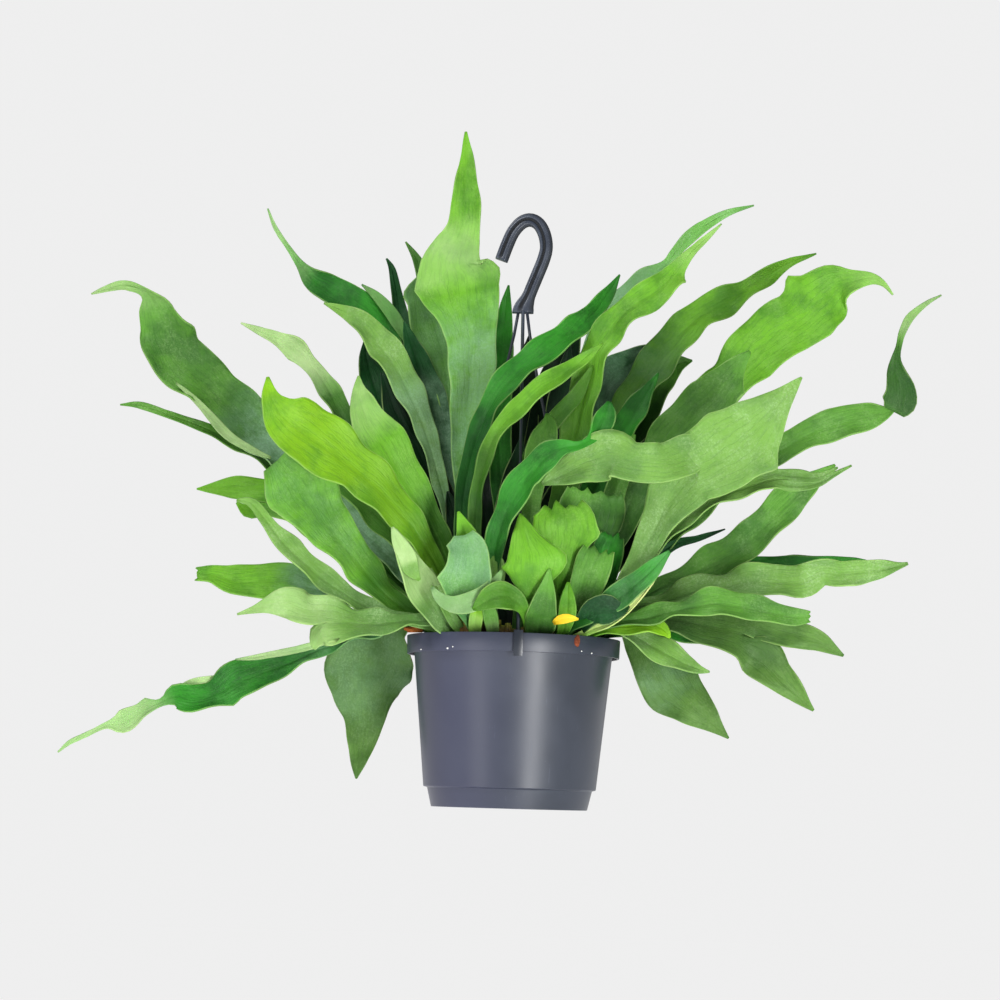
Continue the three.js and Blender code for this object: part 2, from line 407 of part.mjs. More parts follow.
function buildPot() {
  const rimBottom = pot.height - pot.rimHeight;
  const skirt = pot.rimRadius - pot.rimWall;
  const body = turned([
    [0, 0],
    [pot.footRadius, 0],
    [pot.footTopRadius, pot.footHeight],
    [pot.bodyRadius, pot.footHeight + pot.step],
    [pot.bodyTopRadius, pot.height - pot.lip],
    [skirt, pot.height - pot.lip],
    [skirt - pot.rimTaper, rimBottom],
    [pot.rimRadius - pot.rimTaper, rimBottom],
    [pot.rimRadius, pot.height - pot.rimChamfer],
    [pot.rimRadius - pot.rimChamfer, pot.height],
    [pot.bodyTopRadius - pot.wall, pot.height],
    [pot.bodyRadius - pot.wall, pot.footHeight + pot.floor],
    [pot.footTopRadius - pot.wall, pot.footHeight + pot.step],
    [pot.footRadius - pot.wall, pot.floor],
    [0, pot.floor],
  ], pot.facets);
  let drained = body;
  for (let i = 0; i < pot.holes; i += 1) {
    const angle = (i + 0.5) * (2 * Math.PI / pot.holes);
    const drill = new THREE.CylinderGeometry(pot.holeRadius, pot.holeRadius, 3 * pot.floor, 12);
    drill.rotateX(Math.PI / 2);
    drill.translate(pot.holeCircle * Math.cos(angle), pot.holeCircle * Math.sin(angle), pot.floor / 2);
    drained = drained.subtract(toSolid(drill));
  }
  return drained;
}

// grow widens the outline all round, for cutting seats.
function buildRhizome(grow) {
  return turned([
    [0, rhizome.underside - grow],
    [rhizome.undersideRadius + grow, rhizome.underside - grow],
    [rhizome.radius + grow, rhizome.widest],
    [rhizome.shoulderRadius + grow, rhizome.shoulder + grow],
    [rhizome.middleRadius, rhizome.middle + grow],
    [rhizome.crownRadius, rhizome.crownEdge + grow],
    [0, rhizome.crown + grow],
  ], rhizome.facets);
}

function buildMedium() {
  const inset = pot.wall + seatGap + medium.play;
  const bottom = pot.floor + seatGap;
  const slope = (pot.bodyTopRadius - pot.bodyRadius) / (pot.height - pot.footHeight);
  const edgeRadius = pot.bodyRadius - inset + slope * (medium.edgeHeight - pot.footHeight);
  const filling = turned([
    [0, bottom],
    [pot.footRadius - inset, bottom],
    [pot.footTopRadius - inset, pot.footHeight + pot.step],
    [pot.bodyRadius - inset, pot.footHeight + 2 * pot.floor],
    [edgeRadius, medium.edgeHeight],
    [edgeRadius - medium.edgeSlope, medium.topHeight],
    [0, medium.topHeight],
  ], pot.facets);
  return filling.subtract(buildRhizome(seatGap));
}

// ---- hanger ---------------------------------------------------------------------------

// The hook's centre line on the XZ plane, from its free end to the foot.
const hookLine = new THREE.CatmullRomCurve3([
  [-18, 439], [-13, 451], [-7.5, 461.5], [-1, 468.5], [5.5, 470.5], [11.5, 467], [16, 459], [17.5, 449.5],
  [15.5, 439.5], [11.5, 428.5], [7.5, 418], [4, 409],
].map(([x, z]) => new THREE.Vector3(x, 0, z)));

// A band of the given half-width along the hook's line, extruded front to back.
function hookBand(halfWidth, depth, y, trim) {
  const left = [];
  const right = [];
  for (let i = 0; i <= hanger.steps; i += 1) {
    const t = trim + (1 - 2 * trim) * i / hanger.steps;
    const point = hookLine.getPoint(t);
    const along = hookLine.getTangent(t);
    left.push(new THREE.Vector2(point.x - halfWidth * along.z, point.z + halfWidth * along.x));
    right.unshift(new THREE.Vector2(point.x + halfWidth * along.z, point.z - halfWidth * along.x));
  }
  return extrudeXZ([...left, ...right], depth, y);
}

// Extrudes an outline drawn on the XZ plane along Y, centred on y.
function extrudeXZ(outline, depth, y) {
  const geometry = new THREE.ExtrudeGeometry(new THREE.Shape(outline), { depth, bevelEnabled: false });
  geometry.rotateX(Math.PI / 2);
  geometry.translate(0, y + depth / 2, 0);
  return toSolid(geometry);
}

// A C-shaped clip that hooks over the rim, drawn radially and turned to its angle.
function buildClip(angle) {
  const outer = pot.rimRadius + seatGap;
  const inner = pot.bodyTopRadius - pot.wall - seatGap - hanger.clipPlay;
  const top = pot.height + seatGap;
  const toe = top - hanger.clipReach;
  const heel = pot.height - hanger.clipDrop;
  const wall = hanger.clipWall;
  const outline = [
    [inner - wall, top + wall],
    [inner - wall - hanger.clipSlope, toe],
    [inner - hanger.clipSlope, toe],
    [inner, top],
    [outer, top],
    [outer, heel],
    [outer + wall, heel],
    [outer + wall, top + wall],
  ].map(([radius, z]) => new THREE.Vector2(radius, z));
  const clip = extrudeXZ(outline, hanger.clipWidth, 0);
  return clip.rotate([0, 0, angle]);
}

function buildRod(angle) {
  const spread = new THREE.Vector2(Math.cos(angle), Math.sin(angle));
  const at = (radius, z) => new THREE.Vector3(radius * spread.x, radius * spread.y, z);
  const end = pot.bodyTopRadius - pot.wall - seatGap - hanger.clipWall;
  const path = new THREE.QuadraticBezierCurve3(
    at(hanger.rodTopRadius, hanger.footHeight + hanger.rodRadius),
    at(hanger.rodBendRadius, hanger.rodBendHeight),
    at(end + hanger.clipWall / 3, pot.height + hanger.clipWall),
  );
  const section = new THREE.Shape();
  for (let i = 0; i < hanger.rodSides; i += 1) {
    const turn = i * 2 * Math.PI / hanger.rodSides;
    const point = [hanger.rodRadius * Math.cos(turn), hanger.rodRadius * Math.sin(turn)];
    if (i === 0) section.moveTo(...point);
    else section.lineTo(...point);
  }
  section.closePath();
  return toSolid(new THREE.ExtrudeGeometry(section, { steps: hanger.rodSteps, extrudePath: path }));
}

function buildHanger() {
  const webOffset = (hanger.thickness - hanger.webDepth) / 2 + seatGap;
  const foot = extrudeXZ([
    [-hanger.footHalfWidth, hanger.footHeight],
    [hanger.footHalfWidth, hanger.footHeight],
    [hanger.footHalfWidth, hanger.footTop],
    [0, hanger.footTop],
    [-hanger.footHalfWidth, hanger.footHeight + hanger.footFlange],
  ].map(([x, z]) => new THREE.Vector2(x, z)), hanger.footThickness, 0);
  let moulding = hookBand(hanger.halfWidth, hanger.thickness, 0, 0)
    .subtract(hookBand(hanger.webHalfWidth, hanger.webDepth, -webOffset, hanger.webTrim))
    .subtract(hookBand(hanger.webHalfWidth, hanger.webDepth, webOffset, hanger.webTrim))
    .add(foot);
  for (const degrees of hanger.clipAngles) {
    const angle = THREE.MathUtils.degToRad(degrees);
    moulding = moulding.add(buildRod(angle)).add(buildClip(degrees));
  }
  return moulding;
}

// ---- fronds: building -----------------------------------------------------------------

// One cross-section of a blade: its middle, the direction across it, its face normal.
function station(point, tangent, half, turn) {
  const sight = new THREE.Vector3(0, 1, 0);
  const flat = new THREE.Vector3().crossVectors(tangent, sight).normalize();
  const front = new THREE.Vector3().crossVectors(tangent, flat).normalize();
  const angle = THREE.MathUtils.degToRad(turn);
  const across = flat.multiplyScalar(Math.cos(angle)).addScaledVector(front, Math.sin(angle));
  const normal = new THREE.Vector3().crossVectors(tangent, across).normalize();
  return { point, across, normal, half: Math.max(half, leastHalf) / Math.cos(angle) };
}

function place([x, z, y]) {
  const reach = (y - eye.y) / -eye.y;
  return new THREE.Vector3(x, 0, z).sub(eye).multiplyScalar(reach).add(eye);
}

// Even steps along a smooth line through the stations, each a full cross-section.
function sections(path) {
  const line = new THREE.CatmullRomCurve3(path.map(place), false, 'catmullrom', 0.5);
  const shape = path.map(([, , , half, turn]) => new THREE.Vector3(half, turn, 0));
  const form = new THREE.CatmullRomCurve3(shape, false, 'catmullrom', 0.5);
  const steps = Math.max(3, Math.round(line.getLength() / rowSpacing));
  const made = [];
  for (let i = 0; i <= steps; i += 1) {
    const t = line.getUtoTmapping(i / steps);
    const { x: half, y: turn } = form.getPoint(t);
    made.push(station(line.getPoint(t), line.getTangent(t), half, turn));
  }
  return made;
}

// Points across a section from -1 (right-hand edge) to 1 (left-hand edge).
function rowPoints(section, cup, columns) {
  const row = [];
  for (let i = 0; i <= columns; i += 1) {
    const s = 1 - 2 * i / columns;
    const lift = cup * section.half * (s * s - cupBalance);
    row.push({
      point: section.point.clone()
        .addScaledVector(section.across, s * section.half)
        .addScaledVector(section.normal, lift),
      normal: section.normal,
    });
  }
  return row;
}

// A closed blade: a front sheet and a back sheet joined along their free edges.
function bladeSolid({ path, cup, forks }) {
  const vertices = [];
  const faces = [];
  const addRow = (row) => row.map(({ point, normal }) => {
    vertices.push({ point, normal });
    return vertices.length - 1;
  });
  const stitch = (lower, upper) => {
    for (let i = 0; i + 1 < lower.length; i += 1) {
      faces.push([lower[i], lower[i + 1], upper[i + 1]], [lower[i], upper[i + 1], upper[i]]);
    }
  };
  const grow = (first, rows) => rows.reduce((last, row) => {
    const next = addRow(row);
    stitch(last, next);
    return next;
  }, first);

  const stem = sections(path);
  const columns = 2;
  const stemRows = stem.map((section) => rowPoints(section, cup, columns));
  const last = grow(addRow(stemRows[0]), stemRows.slice(1));
  (forks ?? []).forEach((lobe, index) => {
    const root = [last.slice(0, 2), last.slice(1)][index];
    const start = new THREE.Vector3()
      .addVectors(vertices[root[0]].point, vertices[root[1]].point).multiplyScalar(0.5);
    const reach = (start.y - eye.y) / -eye.y;
    const onPlane = start.clone().sub(eye).divideScalar(reach).add(eye);
    const [, , , half, turn] = path[path.length - 1];
    const lobePath = [[onPlane.x, onPlane.z, start.y, half / 2, turn], ...lobe];
    grow(root, sections(lobePath).slice(1).map((section) => rowPoints(section, 0, 1)));
  });
  return closeSheet(vertices, faces);
}

function closeSheet(vertices, faces) {
  const count = vertices.length;
  const positions = [];
  for (const side of [0.5, -0.5]) {
    for (const { point, normal } of vertices) {
      const moved = point.clone().addScaledVector(normal, side * frondThickness);
      positions.push(moved.x, moved.y, moved.z);
    }
  }
  const index = [];
  const edges = new Map();
  for (const [a, b, c] of faces) {
    index.push(a, b, c, a + count, c + count, b + count);
    for (const [from, to] of [[a, b], [b, c], [c, a]]) edges.set(`${from},${to}`, [from, to]);
  }
  for (const [from, to] of edges.values()) {
    if (!edges.has(`${to},${from}`)) {
      index.push(to, from, from + count, to, from + count, to + count);
    }
  }
  const geometry = new THREE.BufferGeometry();
  geometry.setAttribute('position', new THREE.Float32BufferAttribute(positions, 3));
  geometry.setIndex(index);
  const solid = toSolid(geometry);
  return solid.volume() < 0 ? toSolid(flipped(geometry)) : solid;
}

function flipped(geometry) {
  const index = geometry.index.array;
  const turnedIndex = [];
  for (let i = 0; i < index.length; i += 3) turnedIndex.push(index[i], index[i + 2], index[i + 1]);
  const copy = geometry.clone();
  copy.setIndex(turnedIndex);
  return copy;
}

// ---- assembly -------------------------------------------------------------------------

const fern = new THREE.Group();
fern.name = 'staghorn_fern';
addPart(fern, 'pot', buildPot(), plastic);
addPart(fern, 'growing_medium', buildMedium(), bark);
addPart(fern, 'rhizome', buildRhizome(0), root);
addPart(fern, 'hanger', buildHanger(), hangerPlastic);
const seat = buildRhizome(seatGap);
for (const [name, frond] of Object.entries(fronds)) {
  const blade = bladeSolid(frond).subtract(seat);
  addPart(fern, `frond_${name}`, blade, { color: leafTones[frond.tone], roughness: 0.6, metalness: 0 });
}

export default fern;
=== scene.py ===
import math
import random

import bmesh
import bpy
from mathutils import Matrix, Vector, noise


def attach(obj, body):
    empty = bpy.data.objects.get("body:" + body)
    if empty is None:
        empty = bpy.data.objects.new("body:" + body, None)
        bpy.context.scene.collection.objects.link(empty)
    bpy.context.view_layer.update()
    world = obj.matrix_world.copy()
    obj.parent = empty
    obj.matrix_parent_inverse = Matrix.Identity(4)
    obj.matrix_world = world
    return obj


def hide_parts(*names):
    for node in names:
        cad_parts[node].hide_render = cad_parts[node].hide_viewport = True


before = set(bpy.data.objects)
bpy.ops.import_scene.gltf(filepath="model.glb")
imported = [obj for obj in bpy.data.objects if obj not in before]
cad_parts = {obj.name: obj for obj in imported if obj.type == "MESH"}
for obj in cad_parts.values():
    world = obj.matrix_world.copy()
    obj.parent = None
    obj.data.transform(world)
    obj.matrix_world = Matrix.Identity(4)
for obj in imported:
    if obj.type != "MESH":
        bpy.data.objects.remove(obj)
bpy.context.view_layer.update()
mm = 0.001
random.seed(11)
sight = Vector((0, 1, 0))
eye = Vector((-14, -2180, 10))  # the fronds are set out on the front elevation as seen from here


def srgb(r, g, b):
    # a 0-255 screen colour as the linear one that shaders use
    channels = [c / 255 for c in (r, g, b)]
    return tuple(c / 12.92 if c <= 0.04045 else ((c + 0.055) / 1.055) ** 2.4 for c in channels) + (1,)


# how every frond is made, in millimetres
blade = {
    "thickness": 1.1,
    "rowSpacing": 3.6,
    "columns": 20,
    "leastHalf": 0.45,
    "endOn": 0.35,  # sine of the angle to the line of sight below which a blade counts as end on
    "cup": 0.2,
    "forkCup": 0.08,
    "cupBalance": 0.4,
    "scallop": 0.1,  # share of the half-width that the outline wanders by
    "scallopLength": 22.0,
    "ruffle": 2.6,  # how far the margins wave out of the blade
    "ruffleLength": 42.0,
    "flutter": 0.7,  # uneven share of the ruffle
    "flutterLength": 17,
    "gutter": 0.9,  # depth of the shallow fold down the middle
    "gutterWidth": 0.16,
    "billow": 3.2,  # slow swelling of the whole blade
    "billowLength": 30.0,
    "fullRuffle": 9,  # half-width from which the ruffle has its full size, then the same for the others
    "fullGutter": 8,
    "fullBillow": 10,
    "rootFade": 40,  # length over which all of these grow from the root
    "tipFade": 18,
    "tipLeast": 0.25,
    "fringeReach": 26.0,  # how far down from the end a ragged end is felt
    "fringeUneven": 0.22,
    "fringeOut": 0.6,
    "stretchFade": 0.1,  # share of the frond over which a coloured stretch fades in and out
    "weld": 0.05,
    "endless": 1e6,  # stands for the length while the end isn't known yet
    "seedStep": 1.37,
    "sproutSeed": 91,
}

# by tone: near the base, towards the tip, the felt's colour, and how much felt shows. The base colours are
# darker partly as the fronds' own colour and partly as painted shade near the crown.
tones = {
    "lime": [(62, 122, 26), (126, 180, 28), (168, 204, 104), 0.14],
    "bright": [(46, 102, 26), (102, 164, 38), (152, 192, 104), 0.24],
    "mid": [(38, 84, 32), (86, 142, 48), (146, 184, 116), 0.32],
    "deep": [(10, 52, 20), (48, 134, 36), (112, 168, 92), 0.16],
    "dark": [(5, 28, 14), (22, 74, 32), (86, 128, 90), 0.24],
    "grey": [(60, 112, 62), (100, 160, 70), (154, 192, 144), 0.46],
    "felt": [(76, 118, 56), (108, 154, 64), (164, 194, 140), 0.48],
    "olive": [(48, 84, 34), (88, 128, 54), (138, 168, 112), 0.28],
    "young": [(108, 168, 54), (210, 220, 140), (228, 236, 184), 0.15],
    "yellow": [(206, 170, 30), (232, 196, 44), (240, 220, 120), 0.10],
    # near-black: the painted shade colour of the leaves set inside the plant
    "inner": [(2, 12, 6), (9, 40, 16), (40, 74, 44), 0.10],
}

# shade stretches are painted shade; light stretches are partly the leaf's own paler colour and partly a
# painted highlight.
# Fronds by name, in millimetres. Each station is [x, z, y, half, turn]: its place on the front
# elevation, depth, half-width seen from the front, and turn about the length in degrees, left out
# where it is nothing.
# teeth are corners on a margin: [part, share of its length, side, reach, spread], where part 0 is the
# stem and 1 or 2 a fork. fringe is [teeth, depth] of a ragged end, bloom [start, end, strength] of a
# glaucous stretch, shade of a dark one and light of a pale one. look is a tone used in place of its own.
# flaps are folds and rolled margins that turn another face forwards. Their span is where they stand
# along the frond.
fronds = {
    "left_01": {"tone": "grey", "cup": 0.26, "look": "mid", "shade": [0.70, 0.80, 0.2],
        "bloom": [0.06, 0.58, 1.0], "light": [0.9, 1.1, 0.6], "ruffle": 3.6,
        "teeth": [[0, 0.80, -1, 5, 20], [0, 0.55, -1, 4, 26]], "path": [
        [-40, 137, 14, 4, 10], [-66, 166, 18, 6, 20], [-110, 205, 24, 11, 30], [-160, 252, 34, 16, 30],
        [-205, 290, 42, 19, 30], [-246, 326, 48, 20, 20], [-279, 355, 52, 23, 5],
        [-291, 381, 52, 17, -20], [-301, 402, 48, 5, -40], [-318, 409, 42, 4, -20],
        [-333, 406, 38, 3.2], [-347, 401, 34, 0.7]],
        "flaps": [{"span": [0.3, 0.6], "light": [0.0, 1.1, 0.7], "path": [
            [-276, 331, 40, 0.7], [-260, 318, 34, 2.2], [-246, 303, 29, 3.4],
            [-231, 289, 25, 3.6], [-214, 279, 22, 2.6], [-198, 273, 20, 0.8]]}]},
    "left_02": {"tone": "mid", "cup": 0.3, "path": [
        [-40, 130, 36, 3.5, 10], [-60, 152, 45, 4.5, 20], [-84, 170, 50, 6, 25], [-132, 212, 58, 9, 30],
        [-175, 253, 66, 10, 30], [-208, 277, 72, 9, 30], [-236, 289, 76, 6.5, 20],
        [-259, 298, 78, 4, 10], [-281, 305, 78, 3.4], [-304, 312, 76, 3], [-320, 312, 74, 0.7]]},
    "left_03": {"tone": "lime", "cup": 0.18, "shade": [0.0, 0.86, 0.17], "path": [
        [-35, 134, -29, 4, 10], [-48, 160, -42, 5, 15], [-62, 188, -54, 6.5, 20], [-82, 219, -64, 11, 25],
        [-106, 246, -74, 15.5, 28], [-128, 265, -84, 18.5, 26], [-150, 281, -94, 22, 22],
        [-171, 295, -102, 24.5, 18], [-188, 306, -106, 18, 10], [-197, 317, -108, 10, 5],
        [-201, 327, -108, 5], [-203, 338, -106, 0.8]]},
    "left_04": {"tone": "mid", "look": "bright", "cup": 0.24, "ruffle": 3.2, "shade": [0.0, 0.42, 0.35],
        "bloom": [0.5, 1.1, 0.16], "teeth": [[0, 0.84, -1, 5, 8]], "path": [
        [-47, 132, -27, 4, 10], [-74, 147, -36, 5, 18], [-104, 167, -46, 10, 22],
        [-118, 182, -52, 13, 24], [-131, 197, -58, 15, 24], [-143, 211, -64, 17, 22],
        [-156, 226, -69, 20, 18], [-165, 239, -72, 26, 12], [-172, 250, -74, 30, 6],
        [-182, 262, -75, 25], [-192, 272, -74, 15]]},
    "left_05": {"tone": "mid", "path": [
        [-38, 136, -14, 4], [-62, 176, -20, 6, 15], [-92, 210, -28, 9, 20], [-118, 236, -34, 10, 25],
        [-140, 256, -38, 9, 25], [-158, 274, -40, 5.5, 20], [-172, 290, -40, 0.8, 10]]},
    "left_06": {"tone": "mid", "cup": 0.15, "look": "bright", "path": [
        [-52, 132, 6, 4, 10], [-88, 160, 10, 6, 20], [-126, 192, 16, 9, 25], [-160, 220, 22, 13, 25],
        [-188, 238, 26, 15, 20]],
        "forks": [
        [[-203, 232, 26, 7, 20], [-214, 229, 24, 6, 10], [-224, 236, 20, 0.8]],
        [[-207, 246, 30, 10, 10], [-224, 248, 32, 9, 5], [-240, 247, 32, 5.5], [-256, 246, 32, 0.7]]]},
    "left_07": {"tone": "felt", "cup": 0.3, "path": [
        [-46, 131, -32, 3.5, 10], [-62, 141, -40, 4, 20], [-82, 147, -48, 4.5, 30],
        [-103, 151, -54, 5, 35], [-128, 162, -60, 7, 35], [-151, 177, -66, 8, 30],
        [-171, 193, -72, 8, 30], [-187, 208, -74, 7, 20], [-200, 223, -74, 4.5, 10],
        [-212, 236, -72, 3.4], [-224, 238, -68, 0.8]]},
    "left_08": {"tone": "bright", "bloom": [0.2, 0.66, 0.9], "fringe": [2, 3], "path": [
        [-53, 131, -14, 3.5, 20], [-71, 142, -17, 4, 25], [-90, 148, -18, 5, 35],
        [-112, 154, -20, 6, 35], [-136, 162, -22, 8, 35], [-158, 169, -24, 11, 30],
        [-180, 174, -26, 14, 25], [-202, 174, -28, 14.5, 20], [-224, 174, -30, 11.5, 15],
        [-241, 178, -30, 7.5, 10], [-254, 178, -30, 5.5]]},
    "left_09": {"tone": "felt", "light": [0.6, 1.1, 0.35], "ruffle": 3.0,
        "teeth": [[1, 0.3, -1, 5, 8]], "path": [
        [-41, 132, -38, 3.5, 15], [-58, 145, -52, 3.8, 20], [-81, 147, -67, 5, 40],
        [-100, 144, -76, 8, 40], [-122, 143, -86, 12.5, 35], [-146, 144, -94, 18, 25]],
        "forks": [
        [[-153, 133, -98, 9, 20], [-157, 126, -98, 5, 10], [-158, 121, -98, 1]],
        [[-164, 153, -98, 13, 15], [-180, 157, -102, 12, 5], [-195, 155, -102, 6.5],
            [-208, 151, -98, 2.6], [-220, 147, -94, 0.7]]]},
    "left_10": {"tone": "deep", "cup": 0.28, "ruffle": 3.4, "bloom": [0.02, 0.36, 0.3],
        "light": [0.74, 1.1, 0.75], "teeth": [[0, 0.57, 1, 4, 9], [0, 0.76, -1, 4, 8]], "path": [
        [-55, 131, 2, 3.5, 20], [-72, 141, 1, 3.5, 30], [-88, 143, 0, 4, 45], [-106, 138, -4, 5, 45],
        [-130, 130, -8, 5.5, 40], [-152, 121, -12, 5, 30], [-173, 111, -16, 8, 25],
        [-195, 103, -20, 12, 20], [-215, 95, -24, 15, 15], [-234, 83, -26, 11, 20],
        [-252, 79, -28, 11.5, 10], [-266, 81, -28, 9], [-276, 76, -28, 3.2],
        [-291, 69, -28, 5.5, 10], [-307, 59, -28, 8.5, 10], [-320, 56, -28, 2.6],
        [-336, 48, -28, 2], [-348, 42, -28, 1.8], [-357, 34, -28, 0.7]],
        "flaps": [{"span": [0.3, 0.6], "light": [0.0, 1.1, 0.65], "path": [
            [-220, 111, -27, 0.7], [-205, 113, -26, 2.2], [-186, 117, -23, 2.8],
            [-168, 121, -20, 3], [-152, 126, -18, 2.4], [-134, 134, -14, 0.8]]},
            {"span": [0.5, 0.7], "light": [0.0, 1.1, 0.9], "path": [
            [-268, 84, -22, 0.7], [-255, 90, -22, 4.2], [-240, 93, -22, 4.6],
            [-222, 99, -22, 0.8]]}]},
    "left_11": {"tone": "deep", "look": "olive", "cup": -0.15, "bloom": [0.3, 0.75, 0.25], "ruffle": 3.4,
        "path": [
        [-51, 131, 20, 4, 20], [-66, 145, 27, 6, 30], [-80, 151, 35, 11, 40], [-92, 147, 42, 18, 35],
        [-102, 135, 48, 27, 25], [-111, 119, 52, 33, 10], [-116, 102, 54, 35], [-117, 86, 54, 27],
        [-116, 68, 52, 18], [-118, 48, 50, 11.5], [-120, 33, 48, 6.5], [-121, 20, 46, 0.8]]},
    "left_12": {"tone": "deep", "cup": 0.24, "bloom": [0.2, 0.6, 0.35],
        "light": [0.88, 1.1, 0.5], "path": [
        [-28, 133, 36, 3.5], [-50, 210, 56, 5, 10], [-72, 280, 72, 6, 15], [-92, 335, 84, 8, 20],
        [-108, 370, 90, 10, 20], [-121, 389, 94, 12, 15], [-139, 402, 98, 13, 10],
        [-157, 411, 100, 13, 5], [-170, 419, 100, 9], [-180, 430, 98, 3.6, -20],
        [-190, 444, 94, 2, -30], [-201, 459, 88, 1.8], [-208, 475, 82, 0.7]],
        "flaps": [{"span": [0.5, 0.8], "light": [0.0, 1.1, 0.3], "path": [
            [-130, 415, 90, 0.8], [-118, 406, 88, 4], [-107, 394, 86, 5.5],
            [-98, 381, 85, 5], [-91, 366, 85, 1]]}]},
    "left_13": {"tone": "felt", "cup": 0.28, "bloom": [0.1, 0.7, 0.55], "path": [
        [-26, 139, 8, 3.5], [-45, 200, 14, 5, 10], [-60, 248, 22, 6, 15], [-72, 288, 32, 8, 20],
        [-86, 322, 42, 11, 25], [-101, 350, 50, 13, 25], [-118, 373, 58, 11, 20],
        [-135, 388, 64, 7.5, 10], [-149, 395, 66, 4], [-160, 399, 66, 0.8]]},
    "left_14": {"tone": "mid", "shade": [0.3, 0.66, 0.85], "light": [0.74, 1.1, 0.8],
        "ruffle": 3.0, "path": [
        [-36, 137, 24, 4], [-64, 188, 26, 5, 15], [-92, 232, 28, 7, 25], [-120, 275, 32, 9, 30],
        [-139, 304, 36, 9, 30], [-150, 322, 38, 9, 25], [-160, 338, 40, 7.5, 10],
        [-170, 350, 40, 6, -20], [-181, 361, 40, 10, -10], [-196, 369, 38, 6],
        [-211, 375, 36, 3.4], [-226, 381, 34, 0.7]]},
    "left_15": {"tone": "bright", "cup": 0.18, "shade": [0.0, 0.5, 0.4], "light": [0.8, 1.1, 0.4],
        "ruffle": 3.0, "teeth": [[0, 0.70, 1, 4, 10]], "path": [
        [-31, 135, -8, 4.5], [-48, 180, -18, 7.5, 10], [-66, 218, -28, 11, 15],
        [-84, 250, -42, 14, 20], [-100, 275, -48, 17, 20], [-114, 295, -52, 17.5, 15],
        [-124, 313, -52, 12, 10], [-129, 328, -50, 6], [-130, 341, -48, 0.7]]},
    "left_16": {"tone": "dark", "cup": 0.18, "path": [
        [-34, 131, 38, 4], [-66, 204, 62, 8, 10], [-88, 264, 80, 13, 15], [-105, 303, 92, 16, 15],
        [-117, 334, 100, 13, 10], [-124, 355, 104, 7], [-126, 371, 104, 0.8]]},
    "left_17": {"tone": "dark", "cup": 0.3, "path": [
        [-18, 132, 45, 3.5], [-44, 230, 92, 6, 10], [-68, 310, 116, 8, 15], [-88, 362, 128, 9, 15],
        [-97, 388, 132, 7, 10], [-102, 410, 134, 4.6], [-106, 428, 134, 3], [-111, 437, 132, 0.8]]},
    "left_18": {"tone": "mid", "cup": 0.3, "path": [
        [-6, 133, 46, 3.5], [-30, 250, 96, 6], [-56, 350, 122, 7, 5], [-74, 402, 132, 7, 10],
        [-84, 431, 134, 5, 10], [-89, 441, 134, 3], [-96, 451, 132, 0.7]]},
    "left_19": {"tone": "deep", "cup": 0.34, "look": "mid", "bloom": [0.3, 1.1, 0.3],
        "teeth": [[0, 0.96, 1, 6, 9]], "path": [
        [-12, 134, 36, 3.5], [-36, 220, 52, 5, 5], [-50, 290, 62, 8, 10], [-58, 336, 68, 13, 10],
        [-64, 364, 72, 17, 10], [-71, 386, 74, 20, 10], [-77, 403, 74, 18, 5], [-80, 415, 72, 12],
        [-80, 424, 70, 5]]},
    "left_20": {"tone": "grey", "look": "dark", "cup": 0.24, "bloom": [0.3, 0.8, 0.6], "path": [
        [-18, 139, 24, 3.5], [-44, 205, 36, 7, 10], [-60, 270, 50, 12, 15], [-72, 316, 58, 15, 15],
        [-82, 349, 62, 12, 10], [-90, 371, 64, 6], [-95, 386, 64, 0.8]]},
    "centre_01": {"tone": "felt", "look": "bright", "bloom": [0.0, 0.62, 0.6],
        "light": [0.72, 0.79, 0.55], "ruffle": 2.2,
        "teeth": [[0, 0.695, -1, 3, 10], [0, 0.71, 1, 3, 12]], "path": [
        [-24, 138, -12, 4], [-33, 195, -8, 6.5], [-41, 255, -4, 9, 5], [-42, 298, 0, 13, 5],
        [-40, 324, 2, 16.5, 8], [-40, 348, 4, 18.5, 8], [-41, 373, 6, 21.5, 8], [-46, 395, 8, 26, 8],
        [-50, 410, 8, 31, 5], [-53, 421, 8, 33], [-57, 433, 8, 25.5], [-55, 444, 8, 20.5],
        [-51, 456, 8, 16], [-49, 468, 8, 13], [-49, 487, 10, 11.3], [-49, 507, 12, 7.8],
        [-49, 527, 14, 4.2], [-50, 543, 16, 0.7]]},
    "centre_02": {"tone": "deep", "cup": 0.3, "path": [
        [-2, 137, 26, 4], [-10, 220, 42, 7], [-16, 290, 54, 10, 5], [-17, 340, 60, 10.5, 5],
        [-15, 375, 62, 8, 5], [-14, 400, 60, 5], [-12, 418, 58, 0.8]]},
    "centre_03": {"tone": "deep", "cup": 0.38, "ruffle": 2.0, "shade": [0.0, 0.5, 0.55], "path": [
        [-22, 137, -25, 4], [-40, 190, -38, 5.5, -10], [-44, 238, -40, 6.2, -15],
        [-39, 274, -42, 6.8, -20], [-30, 305, -40, 8.4, -25], [-18, 330, -37, 9.8, -25],
        [-2, 349, -33, 11, -25], [19, 366, -26, 11.5, -25], [40, 382, -10, 10.5, -20],
        [57, 398, 8, 8.5, -15], [68, 413, 20, 5.5, -10], [77, 429, 26, 0.8]]},
    "centre_04": {"tone": "deep", "cup": 0.38, "ruffle": 2.2, "look": "bright", "shade": [0.0, 0.56, 0.7],
        "path": [
        [-18, 134, -36, 3], [-30, 190, -54, 5, -10], [-33, 240, -61, 5.5, -15],
        [-28, 270, -64, 5.8, -20], [-22, 291, -62, 6.2, -25], [-13, 306, -60, 7, -25],
        [2, 321, -56, 7.6, -25], [18, 337, -52, 7.8, -25], [34, 348, -46, 7, -20],
        [50, 360, -40, 5, -10], [65, 373, -34, 0.8]]},
    "right_01": {"tone": "bright", "cup": 0.18, "shade": [0.0, 0.52, 0.3], "light": [0.9, 1.1, 0.45],
        "ruffle": 3.0, "teeth": [[0, 0.84, -1, 5, 10]], "path": [
